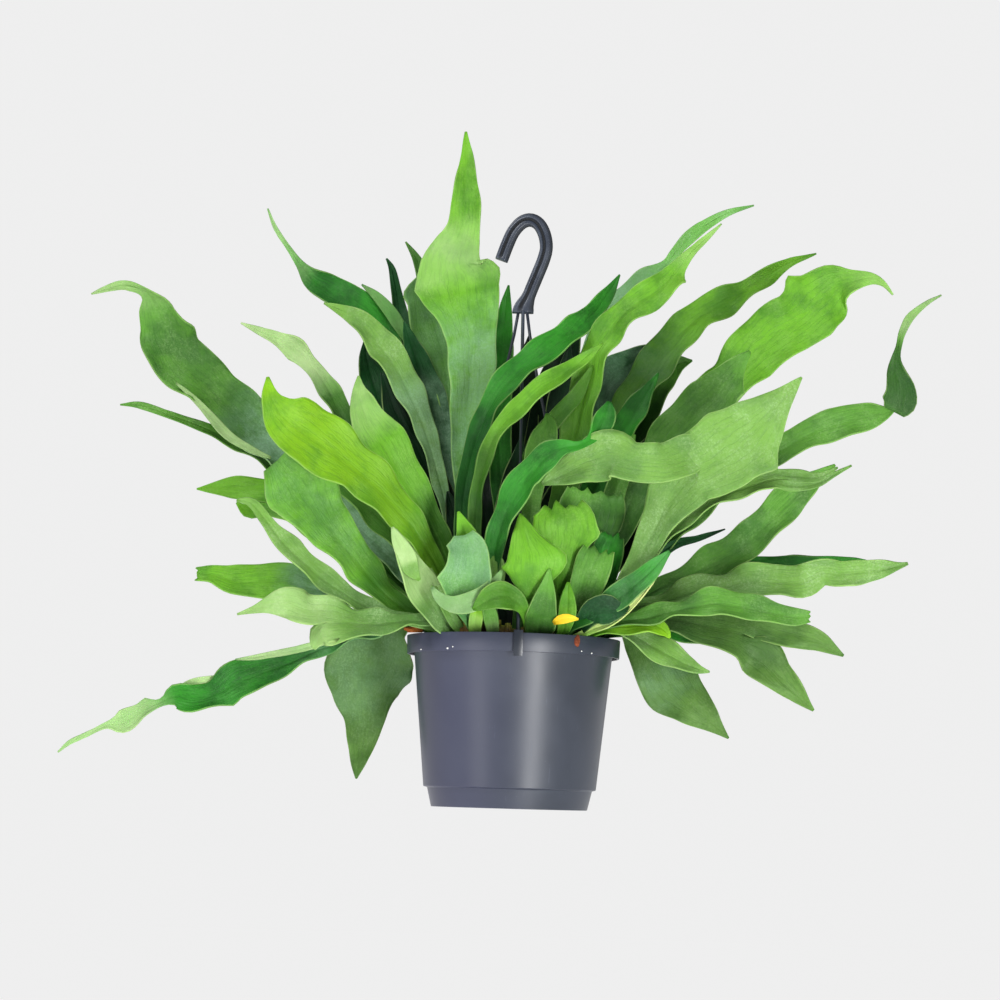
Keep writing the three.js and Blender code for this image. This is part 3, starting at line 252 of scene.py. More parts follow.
        [8, 140, -18, 4.5], [24, 196, -16, 8, -10], [36, 248, -12, 10, -15], [43, 288, -8, 11.5, -18],
        [48, 320, -6, 12, -20], [56, 354, -6, 12, -20], [67, 380, -8, 11.5, -20], [83, 399, -10, 12, -20],
        [99, 411, -10, 13, -15], [112, 421, -8, 12, -12], [121, 433, -4, 7.5, -10], [134, 449, -2, 4, -5],
        [146, 461, 2, 2.6], [158, 473, 4, 0.7]],
        "flaps": [{"span": [0.1, 0.5], "shade": [0.0, 1.1, 0.45], "path": [
            [2, 262, -16, 1], [8, 280, -16, 5], [18, 298, -15, 7], [30, 313, -14, 7],
            [43, 328, -12, 6], [51, 342, -11, 4], [57, 355, -10, 0.8]]}]},
    "right_02": {"tone": "grey", "cup": 0.28, "bloom": [0.4, 0.74, 0.8], "path": [
        [8, 134, 42, 3.5], [28, 222, 50, 6, -10], [46, 308, 54, 8, -15], [59, 370, 54, 9, -20],
        [71, 401, 52, 9, -20], [85, 416, 50, 8, -20], [100, 428, 50, 7.5, -15], [114, 438, 50, 4.4],
        [121, 448, 50, 4.4, 10], [132, 461, 52, 5.5, 10], [147, 473, 54, 4.4], [165, 483, 54, 2.8],
        [184, 489, 52, 0.7]]},
    "right_03": {"tone": "mid", "cup": 0.22, "ruffle": 3.0, "look": "bright", "shade": [0.0, 0.66, 0.5],
        "bloom": [0.5, 0.66, 0.3], "path": [
        [22, 132, 40, 4], [46, 215, 56, 8, -10], [66, 280, 66, 11, -20], [85, 319, 72, 13, -25],
        [100, 346, 75, 14, -25], [120, 374, 78, 15, -25], [138, 393, 80, 13, -25],
        [156, 406, 80, 14, -20], [177, 419, 82, 9.5, -15], [194, 430, 82, 7.8, -10],
        [212, 442, 80, 4.4], [235, 451, 76, 0.7]]},
    "right_04": {"tone": "bright", "cup": 0.14, "ruffle": 3.2, "light": [0.93, 1.1, 0.4],
        "teeth": [[0, 0.82, 1, 7, 9], [0, 0.80, -1, 3, 12]], "path": [
        [34, 137, 20, 4.5], [58, 194, 20, 7, -10], [86, 244, 20, 10, -20], [114, 290, 20, 14, -25],
        [142, 322, 22, 16.5, -25], [166, 344, 24, 18, -22], [184, 366, 26, 22, -18],
        [203, 384, 26, 24.5, -15], [221, 396, 26, 24.5, -10], [236, 411, 24, 26, -5],
        [250, 424, 22, 20], [263, 429, 18, 10.5], [278, 432, 14, 5.2], [289, 428, 8, 2.4],
        [297, 419, 4, 0.7]]},
    "right_05": {"tone": "deep", "cup": 0.16, "ruffle": 3.0, "look": "mid", "shade": [0.0, 0.86, 0.35],
        "teeth": [[0, 0.88, -1, 4, 9]], "path": [
        [46, 136, -6, 5], [62, 180, -10, 8, -10], [80, 222, -14, 11, -15], [98, 260, -18, 14, -20],
        [118, 292, -22, 17, -20], [138, 315, -26, 19, -20], [153, 330, -28, 19, -15],
        [163, 344, -28, 15, -10], [172, 356, -26, 8.5], [183, 370, -24, 0.8]]},
    "right_06": {"tone": "felt", "cup": 0.14, "ruffle": 2.2, "teeth": [[0, 0.785, -1, 10, 13]], "path": [
        [43, 133, -28, 4.5], [66, 150, -48, 5, -8], [84, 170, -62, 6.5, -12], [98, 199, -75, 9, -15],
        [111, 229, -85, 13, -18], [122, 250, -92, 19, -15], [135, 268, -98, 25, -10],
        [153, 281, -103, 29, -8], [172, 294, -108, 30, -6], [188, 309, -111, 24, -3],
        [200, 322, -113, 15], [211, 334, -114, 8.5], [225, 350, -112, 0.7]],
        "flaps": [{"span": [0.55, 0.85], "path": [
            [150, 290, -94, 8], [137, 286, -99, 15], [115, 278, -108, 15, 5],
            [92, 278, -111, 15, 10], [74, 283, -109, 19.5, 15], [55, 277, -105, 16, 10],
            [38, 268, -101, 10.5, 5], [19, 258, -96, 1.5]]}]},
    "right_07": {"tone": "felt", "cup": 0.3, "path": [
        [50, 131, -26, 3.5], [80, 172, -40, 4.5, -20], [106, 206, -52, 6, -30],
        [131, 232, -62, 7, -35], [156, 250, -70, 7.5, -35], [181, 261, -76, 8, -30],
        [205, 268, -80, 8, -20]],
        "forks": [
        [[225, 270, -82, 5, -10], [240, 270, -82, 3.6], [255, 278, -80, 0.7]],
        [[222, 262, -80, 4, -10], [240, 265, -78, 2.6], [252, 272, -76, 1.8], [266, 280, -72, 0.7]]]},
    "right_08": {"tone": "bright", "cup": 0.22, "ruffle": 3.4, "look": "mid", "path": [
        [53, 131, -13, 3.5], [84, 158, -18, 4, -20], [112, 176, -22, 6, -30],
        [137, 189, -25, 10, -30], [160, 201, -28, 14, -25], [182, 216, -30, 13.5, -20],
        [201, 234, -32, 13, -15], [217, 251, -31, 13.5, -10], [232, 265, -29, 8.5],
        [243, 273, -28, 4], [253, 280, -26, 0.7]]},
    "right_09": {"tone": "mid", "cup": 0.24, "ruffle": 2.8, "path": [
        [54, 133, 8, 4], [84, 176, 10, 5, -20], [122, 218, 12, 8, -30], [160, 254, 14, 9, -25],
        [190, 277, 16, 9.5, -20], [213, 293, 18, 10.5, -15], [236, 306, 20, 12.5, -10],
        [259, 315, 20, 13, -5], [279, 320, 18, 11], [292, 323, 14, 6], [300, 326, 10, 1]],
        "flaps": [{"span": [0.3, 1.0], "shade": [0.0, 0.52, 0.75], "light": [0.56, 1.1, 0.35], "path": [
            [299, 324, 7, 9], [303, 332, 5, 14], [304, 342, 3, 12.5], [301, 355, 2, 8.5],
            [300, 366, 0, 4.4], [302, 377, 0, 2.4], [305, 389, 0, 3], [312, 402, 0, 3.2],
            [324, 413, 0, 2], [336, 420, 0, 0.7]]}]},
    "right_10": {"tone": "felt", "cup": 0.22, "ruffle": 5.0, "wave": 52, "path": [
        [49, 131, -28, 4], [66, 144, -36, 4.5, -20], [86, 155, -43, 6, -30], [112, 165, -50, 8, -35],
        [140, 175, -58, 10, -30], [166, 182, -64, 11.5, -25], [190, 186, -70, 12, -20],
        [210, 186, -74, 13, -15], [228, 186, -76, 13, -5], [244, 194, -76, 10.5, 10],
        [258, 193, -76, 9.5], [275, 195, -76, 9, 10], [290, 197, -74, 7], [302, 200, -72, 3, -10],
        [312, 203, -70, 0.8]]},
    "right_11": {"tone": "deep", "cup": 0.28, "ruffle": 3.6, "path": [
        [55, 131, -4, 3.5], [74, 147, -6, 4, -20], [94, 160, -8, 6, -30], [130, 178, -14, 7, -35],
        [165, 190, -20, 8, -30], [192, 196, -26, 8, -20], [212, 198, -32, 8, -10],
        [231, 200, -36, 6.5], [250, 202, -38, 5, 10], [268, 203, -38, 3.4], [284, 203, -38, 0.8]]},
    "right_12": {"tone": "lime", "cup": 0.24, "ruffle": 3.0, "look": "mid", "fringe": [2, 2], "path": [
        [37, 132, -43, 3.5], [56, 145, -59, 4, -20], [79, 150, -70, 4.5, -35],
        [106, 155, -76, 6, -38], [132, 162, -86, 7.5, -35], [159, 167, -92, 9.6, -30],
        [185, 165, -98, 10.4, -20], [204, 161, -102, 8, -10], [222, 158, -102, 7],
        [235, 158, -100, 4]]},
    "right_13": {"tone": "mid", "cup": 0.16, "look": "olive", "shade": [0.0, 0.8, 0.2], "path": [
        [53, 131, -17, 3.5], [72, 144, -22, 4, -25], [91, 151, -27, 6, -40], [118, 154, -34, 10, -35],
        [150, 150, -42, 15, -25], [180, 144, -50, 20, -15]],
        "forks": [
        [[206, 146, -56, 10], [226, 143, -58, 10, 5], [244, 138, -58, 7, 5], [262, 128, -56, 0.8]],
        [[196, 124, -52, 17], [211, 110, -52, 12], [225, 97, -50, 7], [239, 84, -48, 0.8]]]},
    "right_14": {"tone": "dark", "cup": 0.18, "path": [
        [54, 131, 13, 3.5], [73, 145, 14, 4, -20], [93, 155, 14, 6, -35], [122, 160, 12, 10, -30],
        [152, 159, 10, 12, -25], [178, 153, 8, 13, -15], [194, 147, 6, 8], [203, 141, 4, 1]]},
    "right_15": {"tone": "mid", "cup": -0.14, "look": "olive", "bloom": [0.5, 0.7, 0.3], "path": [
        [49, 131, 26, 4], [68, 144, 28, 4.5, -20], [84, 148, 28, 7, -40], [98, 140, 24, 12, -30],
        [112, 121, 18, 20, -20], [126, 101, 14, 24, -10], [141, 87, 12, 18], [153, 77, 12, 11.5],
        [163, 68, 12, 5.5], [172, 60, 12, 0.8]]},
    "right_16": {"tone": "felt", "cup": 0.24, "ruffle": 3.0, "path": [
        [44, 131, -37, 3.5], [61, 143, -47, 4, -20], [79, 146, -54, 5, -40],
        [96, 139, -58, 8, -30], [117, 128, -66, 10, -20], [134, 119, -70, 8, -10],
        [146, 114, -72, 4], [156, 112, -72, 0.8]]},
    "right_17": {"tone": "dark", "look": "deep", "cup": 0.26, "bloom": [0.4, 1.1, 0.15], "ruffle": 1.8,
        "path": [
        [29, 132, -47, 4], [44, 146, -65, 5, -8], [62, 156, -75, 7, -15], [84, 171, -84, 9.5, -20],
        [104, 188, -90, 8, -20], [122, 207, -92, 1, -10]]},
    "front_01": {"tone": "grey", "cup": 0.5, "bloom": [0.62, 1.1, 0.5], "ruffle": 1.4,
        "teeth": [[0, 0.62, 1, 5, 9], [0, 0.93, 1, 3, 6]], "path": [
        [-26, 132, -49, 3.5], [-36, 148, -70, 4, 10], [-41, 160, -83, 8, 10],
        [-41, 170, -90, 14, 8], [-39, 181, -94, 18, 5], [-38, 192, -94, 16],
        [-38, 202, -92, 14.5], [-40, 210, -89, 11.5], [-42, 216, -87, 7]],
        "flaps": [{"span": [0.3, 0.5], "light": [0.0, 1.1, 0.35], "ruffle": 1.0, "path": [
            [-66, 173, -90, 1], [-60, 165, -93, 4], [-50, 160, -96, 6],
            [-38, 161, -98, 7.5], [-26, 167, -98, 7], [-17, 177, -96, 4.5],
            [-11, 188, -93, 0.8]]}]},
    "front_02": {"tone": "bright", "path": [
        [-22, 134, -39, 3.5], [-32, 160, -54, 7], [-38, 190, -68, 9.5], [-39, 211, -75, 9],
        [-43, 223, -77, 5], [-47, 234, -76, 0.8]]},
    "front_03": {"tone": "lime", "cup": -0.2, "look": "bright", "ruffle": 1.2,
        "teeth": [[0, 0.66, -1, 4, 9], [0, 0.62, 1, 3, 9]], "path": [
        [12, 133, -50, 2.6], [13, 152, -73, 4], [14, 168, -86, 8], [14, 180, -93, 16],
        [14, 189, -98, 22], [13, 198, -100, 21], [10, 208, -99, 16], [6, 220, -95, 9],
        [2, 234, -90, 0.8]]},
    "front_04": {"tone": "bright", "fringe": [3, 7], "ruffle": 3.0,
        "teeth": [[0, 0.80, -1, 5, 7], [0, 0.94, 1, 4, 6]], "path": [
        [32, 133, -38, 4], [34, 170, -58, 9], [36, 198, -72, 16, 5], [38, 218, -80, 23, 5],
        [38, 232, -82, 22, 5], [36, 243, -80, 15]]},
    "front_05": {"tone": "mid", "cup": 0.18, "fringe": [5, 5], "ruffle": 3.4,
        "shade": [0.0, 0.9, 0.6], "path": [
        [34, 134, -34, 4.5], [46, 178, -40, 9], [54, 206, -46, 15, -5], [58, 226, -50, 22, -5],
        [60, 241, -52, 25, -5], [62, 254, -50, 22]]},
    "front_06": {"tone": "bright", "cup": 0.32, "look": "deep",
        "teeth": [[0, 0.62, -1, 2, 8]], "path": [
        [-16, 131, -56, 3], [-20, 180, -74, 6, -10], [-14, 220, -88, 8.2, -20],
        [-5, 245, -98, 9.6, -25], [9, 266, -106, 10.6, -25], [23, 281, -112, 9.6, -20],
        [35, 288, -114, 6, -10], [47, 290, -112, 3], [57, 295, -108, 3, 10],
        [65, 305, -104, 7.6], [69, 316, -102, 7], [71, 326, -100, 1.2]]},
    "front_07": {"tone": "mid", "cup": 0.24, "path": [
        [2, 138, -36, 3.5], [8, 205, -38, 6], [12, 252, -40, 8, -5], [15, 280, -42, 10, -5],
        [20, 297, -42, 10], [23, 307, -42, 6], [21, 315, -40, 0.8]]},
    "front_08": {"tone": "young", "cup": 0.34, "look": "felt", "light": [0.5, 1.1, 0.5], "path": [
        [-34, 132, -43, 4, 10], [-48, 140, -56, 8, 12], [-60, 153, -66, 11, 15], [-72, 170, -76, 12, 18],
        [-82, 187, -83, 10, 15], [-90, 203, -88, 6, 5], [-97, 218, -90, 1]],
        "flaps": [{"span": [0.75, 1.0], "light": [0.35, 1.2, 0.75], "path": [
            [-76, 178, -84, 1], [-83, 187, -88, 6], [-88, 198, -90, 7], [-94, 209, -91, 5],
            [-99, 220, -91, 0.8]]}]},
    "front_09": {"tone": "deep", "look": "bright", "cup": 0.34, "ruffle": 1.6, "shade": [0.0, 1.1, 0.28],
        "path": [
        [12, 132, -46, 2], [10, 146, -68, 2.2], [7, 157, -88, 4], [0, 165, -98, 8, 10],
        [-9, 168, -104, 11, 15], [-18, 166, -104, 9, 15], [-26, 161, -102, 5.5, 5],
        [-33, 156, -99, 1]]},
    "front_10": {"tone": "deep", "look": "mid", "shade": [0.0, 0.7, 0.3], "path": [
        [20, 133, -46, 6], [20, 142, -66, 11], [21, 152, -82, 12], [23, 163, -92, 9.5],
        [25, 175, -98, 5.5], [27, 190, -100, 0.8]]},
    "back_01": {"tone": "dark", "path": [
        [-38, 129, 42, 4, 30], [-72, 190, 92, 9, 50], [-92, 240, 134, 15, 50], [-104, 270, 172, 15, 40],
        [-108, 282, 205, 8, 30], [-108, 280, 228, 0.8, 20]]},
    "back_02": {"tone": "deep", "path": [
        [-20, 130, 50, 4, 10], [-32, 206, 116, 9, 20], [-38, 264, 158, 14, 20], [-40, 300, 196, 15, 20],
        [-38, 312, 226, 9, 10], [-34, 304, 252, 0.8]]},
    "back_03": {"tone": "mid", "path": [
        [10, 130, 50, 4], [18, 206, 108, 9, -10], [24, 270, 148, 14, -15], [28, 316, 182, 14, -15],
        [32, 338, 210, 7, -10], [36, 342, 232, 0.8]]},
    "back_04": {"tone": "dark", "path": [
        [34, 130, 42, 4, -10], [60, 190, 96, 9, -40], [76, 236, 140, 14, -45], [86, 262, 178, 14, -40],
        [90, 270, 210, 8, -30], [92, 264, 236, 0.8, -20]]},
    "back_05": {"tone": "deep", "path": [
        [-4, 129, 52, 4], [-4, 160, 84, 7], [-4, 176, 108, 9], [-6, 190, 142, 13, 10],
        [-10, 186, 182, 13, 10], [-16, 160, 212, 7, 10], [-20, 134, 228, 0.8]]},
}

# Young leaves, cut stalks and the dark leaves inside, which have no solid of their own, in the same form.
# The near-black leaves inside are painted shade for the plant's middle.
sprouts = {
    "dark_strap": {"tone": "dark", "path": [
        [-50, 134, 10, 2], [-80, 147, 8, 2.4, 10], [-120, 161, 6, 3.4, 20], [-170, 190, 2, 3, 10],
        [-181, 198, 0, 2.2], [-191, 206, 0, 0.6]]},
    "bud_left": {"tone": "felt", "cup": 0.3, "path": [
        [-34, 136, -52, 4], [-27, 160, -74, 8], [-21, 178, -80, 11], [-20, 194, -80, 9],
        [-24, 207, -76, 1]]},
    "stub_left": {"tone": "felt", "cup": 0.3, "ruffle": 0.6, "path": [
        [-36, 133, -48, 3], [-46, 144, -62, 4, 10], [-54, 158, -70, 4.5, 10], [-62, 174, -74, 4, 5],
        [-68, 188, -74, 0.8]]},
    "stub_middle": {"tone": "lime", "cup": 0.4, "ruffle": 0.6, "light": [0.0, 0.6, 0.3], "path": [
        [-30, 132, -52, 3.5], [-31, 142, -68, 5], [-30, 152, -76, 5.5], [-28, 163, -80, 4],
        [-26, 172, -80, 0.8]]},
    "stub_inner": {"tone": "mid", "cup": 0.4, "ruffle": 0.6, "light": [0.0, 0.5, 0.25], "path": [
        [-16, 132, -54, 3], [-17, 142, -70, 4.5], [-19, 152, -78, 5], [-22, 162, -82, 3.5],
        [-24, 170, -82, 0.8]]},
    "stub_right": {"tone": "bright", "cup": 0.3, "ruffle": 0.8, "path": [
        [36, 132, -50, 3], [40, 144, -66, 5], [42, 156, -76, 6.5], [42, 168, -82, 5],
        [42, 180, -84, 0.8]]},
    "cluster_low": {"tone": "mid", "cup": 0.24, "fringe": [3, 6], "path": [
        [48, 136, -44, 4], [52, 158, -62, 9], [57, 180, -72, 13], [62, 196, -76, 14],
        [66, 208, -74, 12]]},
    "cluster_side": {"tone": "deep", "fringe": [3, 5], "path": [
        [54, 136, -38, 4], [62, 162, -50, 9], [68, 186, -56, 12], [73, 206, -56, 12],
        [77, 220, -54, 9]]},
    "petiole_right": {"tone": "mid", "path": [
        [48, 136, -18, 5], [62, 165, -22, 10], [66, 190, -24, 11], [72, 230, -24, 9],
        [84, 275, -22, 7], [92, 300, -20, 1]]},
    "rim_right": {"tone": "dark", "cup": 0.26, "ruffle": 1.2, "path": [
        [46, 136, -44, 4], [55, 149, -72, 7], [63, 157, -84, 10], [74, 159, -86, 11],
        [84, 160, -84, 6], [91, 163, -82, 0.8]]},
    "rim_low": {"tone": "lime", "cup": 0.3, "path": [
        [50, 135, -44, 3], [72, 144, -58, 5, -20], [92, 147, -66, 8, -20], [108, 149, -70, 8, -10],
        [119, 144, -72, 5], [124, 138, -72, 1]]},
    "pale_rim": {"tone": "young", "cup": 0.3, "path": [
        [44, 134, -50, 2], [62, 143, -66, 3, -10], [77, 150, -74, 3.2, -20], [92, 163, -80, 2.6, -20],
        [106, 180, -84, 1.8, -10], [112, 188, -84, 0.8]]},
    "spur_right": {"tone": "deep", "path": [
        [50, 134, 4, 3], [82, 142, -8, 5, -20], [115, 146, -12, 9, -20], [145, 143, -16, 10, -15],
        [172, 140, -18, 8, -10], [195, 136, -18, 0.8]]},
    "stalk_right": {"tone": "dark", "path": [
        [50, 136, 12, 3], [76, 158, 12, 3.6], [105, 195, 10, 5, -10], [125, 212, 8, 4],
        [145, 218, 6, 2.6], [166, 226, 4, 0.6]]},
    "behind_right": {"tone": "inner", "cup": 0.24, "path": [
        [30, 134, 30, 4], [62, 210, 52, 9, -10], [92, 262, 62, 13, -20], [118, 296, 66, 14, -20],
        [140, 318, 66, 10, -10], [156, 334, 64, 1]]},
    "behind_middle": {"tone": "inner", "cup": 0.24, "path": [
        [14, 136, 20, 4], [22, 214, 34, 9], [30, 278, 44, 13, -10], [34, 330, 48, 11, -10],
        [38, 372, 48, 1]]},
    "behind_left": {"tone": "inner", "cup": 0.24, "path": [
        [-22, 136, 20, 4], [-46, 210, 26, 9, 10], [-72, 266, 34, 13, 20], [-98, 312, 40, 11, 20],
        [-112, 344, 42, 1]]},
    "inner_right": {"tone": "deep", "cup": 0.28, "path": [
        [26, 138, -8, 4], [44, 200, -4, 8, -10], [60, 250, 2, 11, -15], [78, 294, 8, 12, -20],
        [96, 326, 12, 8, -20], [110, 350, 14, 1]]},
    "deep_left": {"tone": "inner", "cup": 0.24, "path": [
        [-10, 134, 44, 4], [-22, 200, 66, 11], [-28, 250, 76, 16], [-30, 296, 82, 17],
        [-30, 334, 84, 11], [-28, 362, 84, 1]]},
    "deep_middle": {"tone": "inner", "cup": 0.24, "path": [
        [6, 134, 48, 4], [12, 200, 72, 11], [18, 256, 84, 17], [23, 304, 90, 18],
        [30, 344, 92, 15, -10], [40, 372, 92, 8, -10], [46, 390, 92, 1]]},
    "deep_right": {"tone": "inner", "cup": 0.24, "path": [
        [22, 134, 46, 4], [40, 196, 70, 11, -10], [54, 244, 82, 17, -15], [66, 284, 90, 17, -20],
        [80, 316, 94, 11, -20], [92, 342, 94, 1]]},
    "deep_far_right": {"tone": "inner", "cup": 0.24, "path": [
        [38, 134, 36, 4], [66, 184, 60, 10, -10], [90, 222, 74, 15, -20], [112, 254, 84, 15, -25],
        [134, 280, 90, 10, -20], [152, 300, 92, 1]]},
    "deep_far_left": {"tone": "inner", "cup": 0.24, "path": [
        [-34, 134, 36, 4], [-62, 184, 58, 10, 10], [-84, 222, 70, 15, 20], [-104, 254, 80, 15, 25],
        [-122, 280, 84, 10, 20], [-136, 300, 86, 1]]},
    "deep_centre": {"tone": "inner", "cup": 0.24, "path": [
        [-2, 134, 50, 4], [-2, 200, 76, 11], [-2, 256, 88, 16], [0, 306, 94, 16],
        [3, 346, 96, 10], [6, 378, 96, 1]]},
    "curl_right": {"tone": "dark", "cup": 0.3, "bloom": [0.5, 1.1, 0.3], "path": [
        [30, 134, 48, 4], [42, 220, 70, 9, -10], [50, 290, 84, 13, -20], [62, 328, 88, 15, -20],
        [76, 348, 90, 15, -20], [92, 360, 92, 12, -10], [106, 365, 92, 7], [113, 360, 92, 1]]},
    "wall_right": {"tone": "mid", "cup": 0.24, "shade": [0.0, 0.84, 0.7], "path": [
        [40, 134, 44, 4], [64, 214, 70, 9, -10], [84, 280, 88, 13, -20], [98, 322, 94, 15, -20],
        [110, 345, 98, 15, -10], [123, 357, 100, 9], [137, 361, 100, 0.8]]},
    "low_left": {"tone": "inner", "cup": 0.24, "path": [
        [-24, 136, 0, 4], [-34, 174, -2, 11], [-42, 206, -2, 13], [-50, 232, -2, 8],
        [-56, 250, -2, 1]]},
    "low_middle": {"tone": "inner", "cup": 0.24, "path": [
        [-6, 136, 2, 4], [-6, 178, 6, 12], [-4, 220, 10, 15], [-2, 258, 14, 12],
        [2, 296, 16, 1]]},
    "low_right": {"tone": "inner", "cup": 0.24, "path": [
        [12, 136, -2, 4], [18, 176, 2, 12], [26, 216, 6, 15], [34, 250, 8, 11],
        [42, 282, 8, 1]]},
    "low_far_right": {"tone": "inner", "cup": 0.24, "path": [
        [32, 136, 2, 4], [44, 176, 2, 11], [54, 208, 2, 13], [64, 234, 2, 8],
        [72, 252, 2, 1]]},
    "yellow_front": {"tone": "yellow", "cup": 0.1, "ruffle": 1.6, "path": [
        [31, 147, -80, 1.6], [36, 150, -86, 3.4], [43, 151.5, -88, 3.2], [51, 151, -88, 0.6]]},
    "yellow_right": {"tone": "yellow", "cup": 0.3, "path": [
        [70, 150, -40, 1.4], [80, 172, -52, 2.4], [84, 182, -54, 2.8], [87, 190, -54, 0.8]]},
}


def place(x, z, y):
    # from the front elevation to depth y, along the line of sight
    return eye + (Vector((x, 0, z)) - eye) * ((y - eye.y) / -eye.y)


def splineAt(points, t):
    # Catmull-Rom through the points, t from 0 to 1
    spot = min(max(t, 0), 1) * (len(points) - 1)
    i = min(int(spot), len(points) - 2)
    w = spot - i
    b, c = points[i], points[i + 1]
    a = points[i - 1] if i > 0 else 2 * b - c
    d = points[i + 2] if i + 2 < len(points) else 2 * c - b
    rise, fall = (c - a) * 0.5, (d - b) * 0.5
    cubic, square = 2 * b - 2 * c + rise + fall, 3 * c - 3 * b - 2 * rise - fall
    return cubic * w ** 3 + square * w ** 2 + rise * w + b


def headingAt(points, t):
    step = 0.004
    return (splineAt(points, t + step) - splineAt(points, t - step)).normalized()


def evenSteps(points, spacing):
    # spline parameters an even distance apart, with the length of the line
    fine = 24 * (len(points) - 1)
    spots = [splineAt(points, i / fine) for i in range(fine + 1)]
    runs = [0.0]
    for i in range(fine):
        runs.append(runs[-1] + (spots[i + 1] - spots[i]).length)
    count = max(4, round(runs[-1] / spacing))
    steps, j = [], 0
    for i in range(count + 1):
        want = runs[-1] * i / count
        while j < fine - 1 and runs[j + 1] < want:
            j += 1
        part = (want - runs[j]) / max(runs[j + 1] - runs[j], 1e-9)
        steps.append(((j + part) / fine, want))
    return steps, runs[-1]


def crossSections(path, start=0.0):
    # the blade's middle, its width direction and its face direction, row by row
    centres = [place(*station[:3]) for station in path]
    forms = [Vector((station + [0])[3:5]) for station in path]
    steps, length = evenSteps(centres, blade["rowSpacing"])
    rows, flat = [], None
    for t, run in steps:
        tangent = headingAt(centres, t)
        half, turn = splineAt(forms, t)
        level = tangent.cross(sight)
        if flat is not None and level.length < blade["endOn"]:
            # running straight away from the eye, a blade keeps the direction that it had
            level = flat - tangent * flat.dot(tangent)
        elif flat is not None and level.dot(flat) < 0:
            level.negate()
        flat = level.normalized()
        front = tangent.cross(flat).normalized()
        angle = math.radians(turn)
        across = flat * math.cos(angle) + front * math.sin(angle)
        rows.append({
            "point": splineAt(centres, t), "along": tangent, "across": across,
            "normal": tangent.cross(across).normalized(), "share": run / length,
            "half": max(half, blade["leastHalf"]) / math.cos(angle), "run": start + run,
        })
    return rows, length


layerNames = ("across", "span", "margin", "run", "half", "bloom", "shade", "light")


def toothAt(look, row, side):
    # how far the corners of this part push its margin out
    reach = 0.0
    for part, share, toothSide, height, spread in look["teeth"]:
        if part == look["part"] and toothSide == side:
            away = abs(row["share"] - share) * look["length"] / spread
            reach += height * max(0, 1 - away) ** 1.3
    return reach


def bladePoint(row, s, look, whole):
    # A point on the blade, s from -1 at one margin to 1 at the other. The whole numbers beside a seed
    # only keep one noise from running in step with another.
    side = 1 if s > 0 else -1
    run, half, seed = row["run"], row["half"], look["seed"]
    fade = min(1, run / blade["rootFade"]) * min(1, (whole - run) / blade["tipFade"] + blade["tipLeast"])
    wander = noise.noise(Vector((run / blade["scallopLength"], 7 * side, seed)))
    wide = s * half * (1 + blade["scallop"] * wander * fade)
    wide += side * toothAt(look, row, side) * abs(s) ** 3
    phase = seed * 2.1 + side * 1.3
    swing = math.sin(2 * math.pi * run / look["ruffleLength"] + phase)
    swing += blade["flutter"] * noise.noise(Vector((run / blade["flutterLength"], 11 * side, seed + 5)))
    wave = look["ruffle"] * swing * s * s * fade * min(1, half / blade["fullRuffle"])
    cup = look["cup"] * half * (s * s - blade["cupBalance"])
    fold = math.exp(-(s / blade["gutterWidth"]) ** 2)
    gutter = -blade["gutter"] * fold * min(1, half / blade["fullGutter"])
    billow = noise.noise(Vector((run / blade["billowLength"], s * 0.8, seed + 9)))
    swell = cup + wave + gutter + billow * blade["billow"] * fade * min(1, half / blade["fullBillow"])
    point = row["point"] + row["across"] * wide + row["normal"] * swell
    if look["fringe"] and whole < blade["endless"]:
        count, depth = look["fringe"]
        uneven = blade["fringeUneven"] * noise.noise(Vector((s * 1.9, seed + 2, 7)))
        zigzag = abs(((s + 1) / 2 + uneven) * count % 1 - 0.5) * 2
        zigzag *= 0.75 + 0.9 * noise.noise(Vector((s * count * 0.4, seed, 3)))
        near = max(0, 1 - (whole - run) / blade["fringeReach"])
        point += row["along"] * ((zigzag - blade["fringeOut"]) * depth * near ** 2)
    return point


def stretchAt(stretch, span):
    start, end, strength = stretch
    rise = min(max((span - start) / blade["stretchFade"] + 0.5, 0), 1)
    return strength * rise * min(max((end - span) / blade["stretchFade"] + 0.5, 0), 1)


def layBlade(bm, rows, columns, look, whole, root=None):
    # bends a flat grid over the rows; a fork starts on its share of the row it leaves
    grid = bmesh.ops.create_grid(bm, x_segments=columns, y_segments=len(rows) - 1, size=1)
    layers = [bm.verts.layers.float[name] for name in layerNames]
    first, (low, high) = rows[0], look["window"]
    for v in grid["verts"]:
        s, down = v.co.x, (v.co.y + 1) / 2 * (len(rows) - 1)
        row = rows[round(down)]
        point, across = bladePoint(row, s, look, whole), s
        if root:
            across, lead = root(s)
            gone = min(1, (row["run"] - first["run"]) / (1.5 * first["half"]))
            point = (lead + row["point"] - first["point"]).lerp(point, gone ** 2 * (3 - 2 * gone))
        v.co = point * mm
        span = row["run"] / whole
        values = [across, low + (high - low) * span, (1 - abs(s)) * row["half"], row["run"], row["half"]]
        values += [stretchAt(look[name], span) for name in ("bloom", "shade", "light")]
        for layer, value in zip(layers, values):
            v[layer] = value


def lookOf(form, seed):
    look = {"seed": seed, "part": 0, "teeth": form.get("teeth", []), "fringe": form.get("fringe"),
            "window": form.get("span", [0, 1]), "ruffleLength": form.get("wave", blade["ruffleLength"])}
    look.update({name: form.get(name, blade[name]) for name in ("cup", "ruffle")})
    look.update({name: form.get(name, [0, 0, 0]) for name in ("bloom", "shade", "light")})
    return look


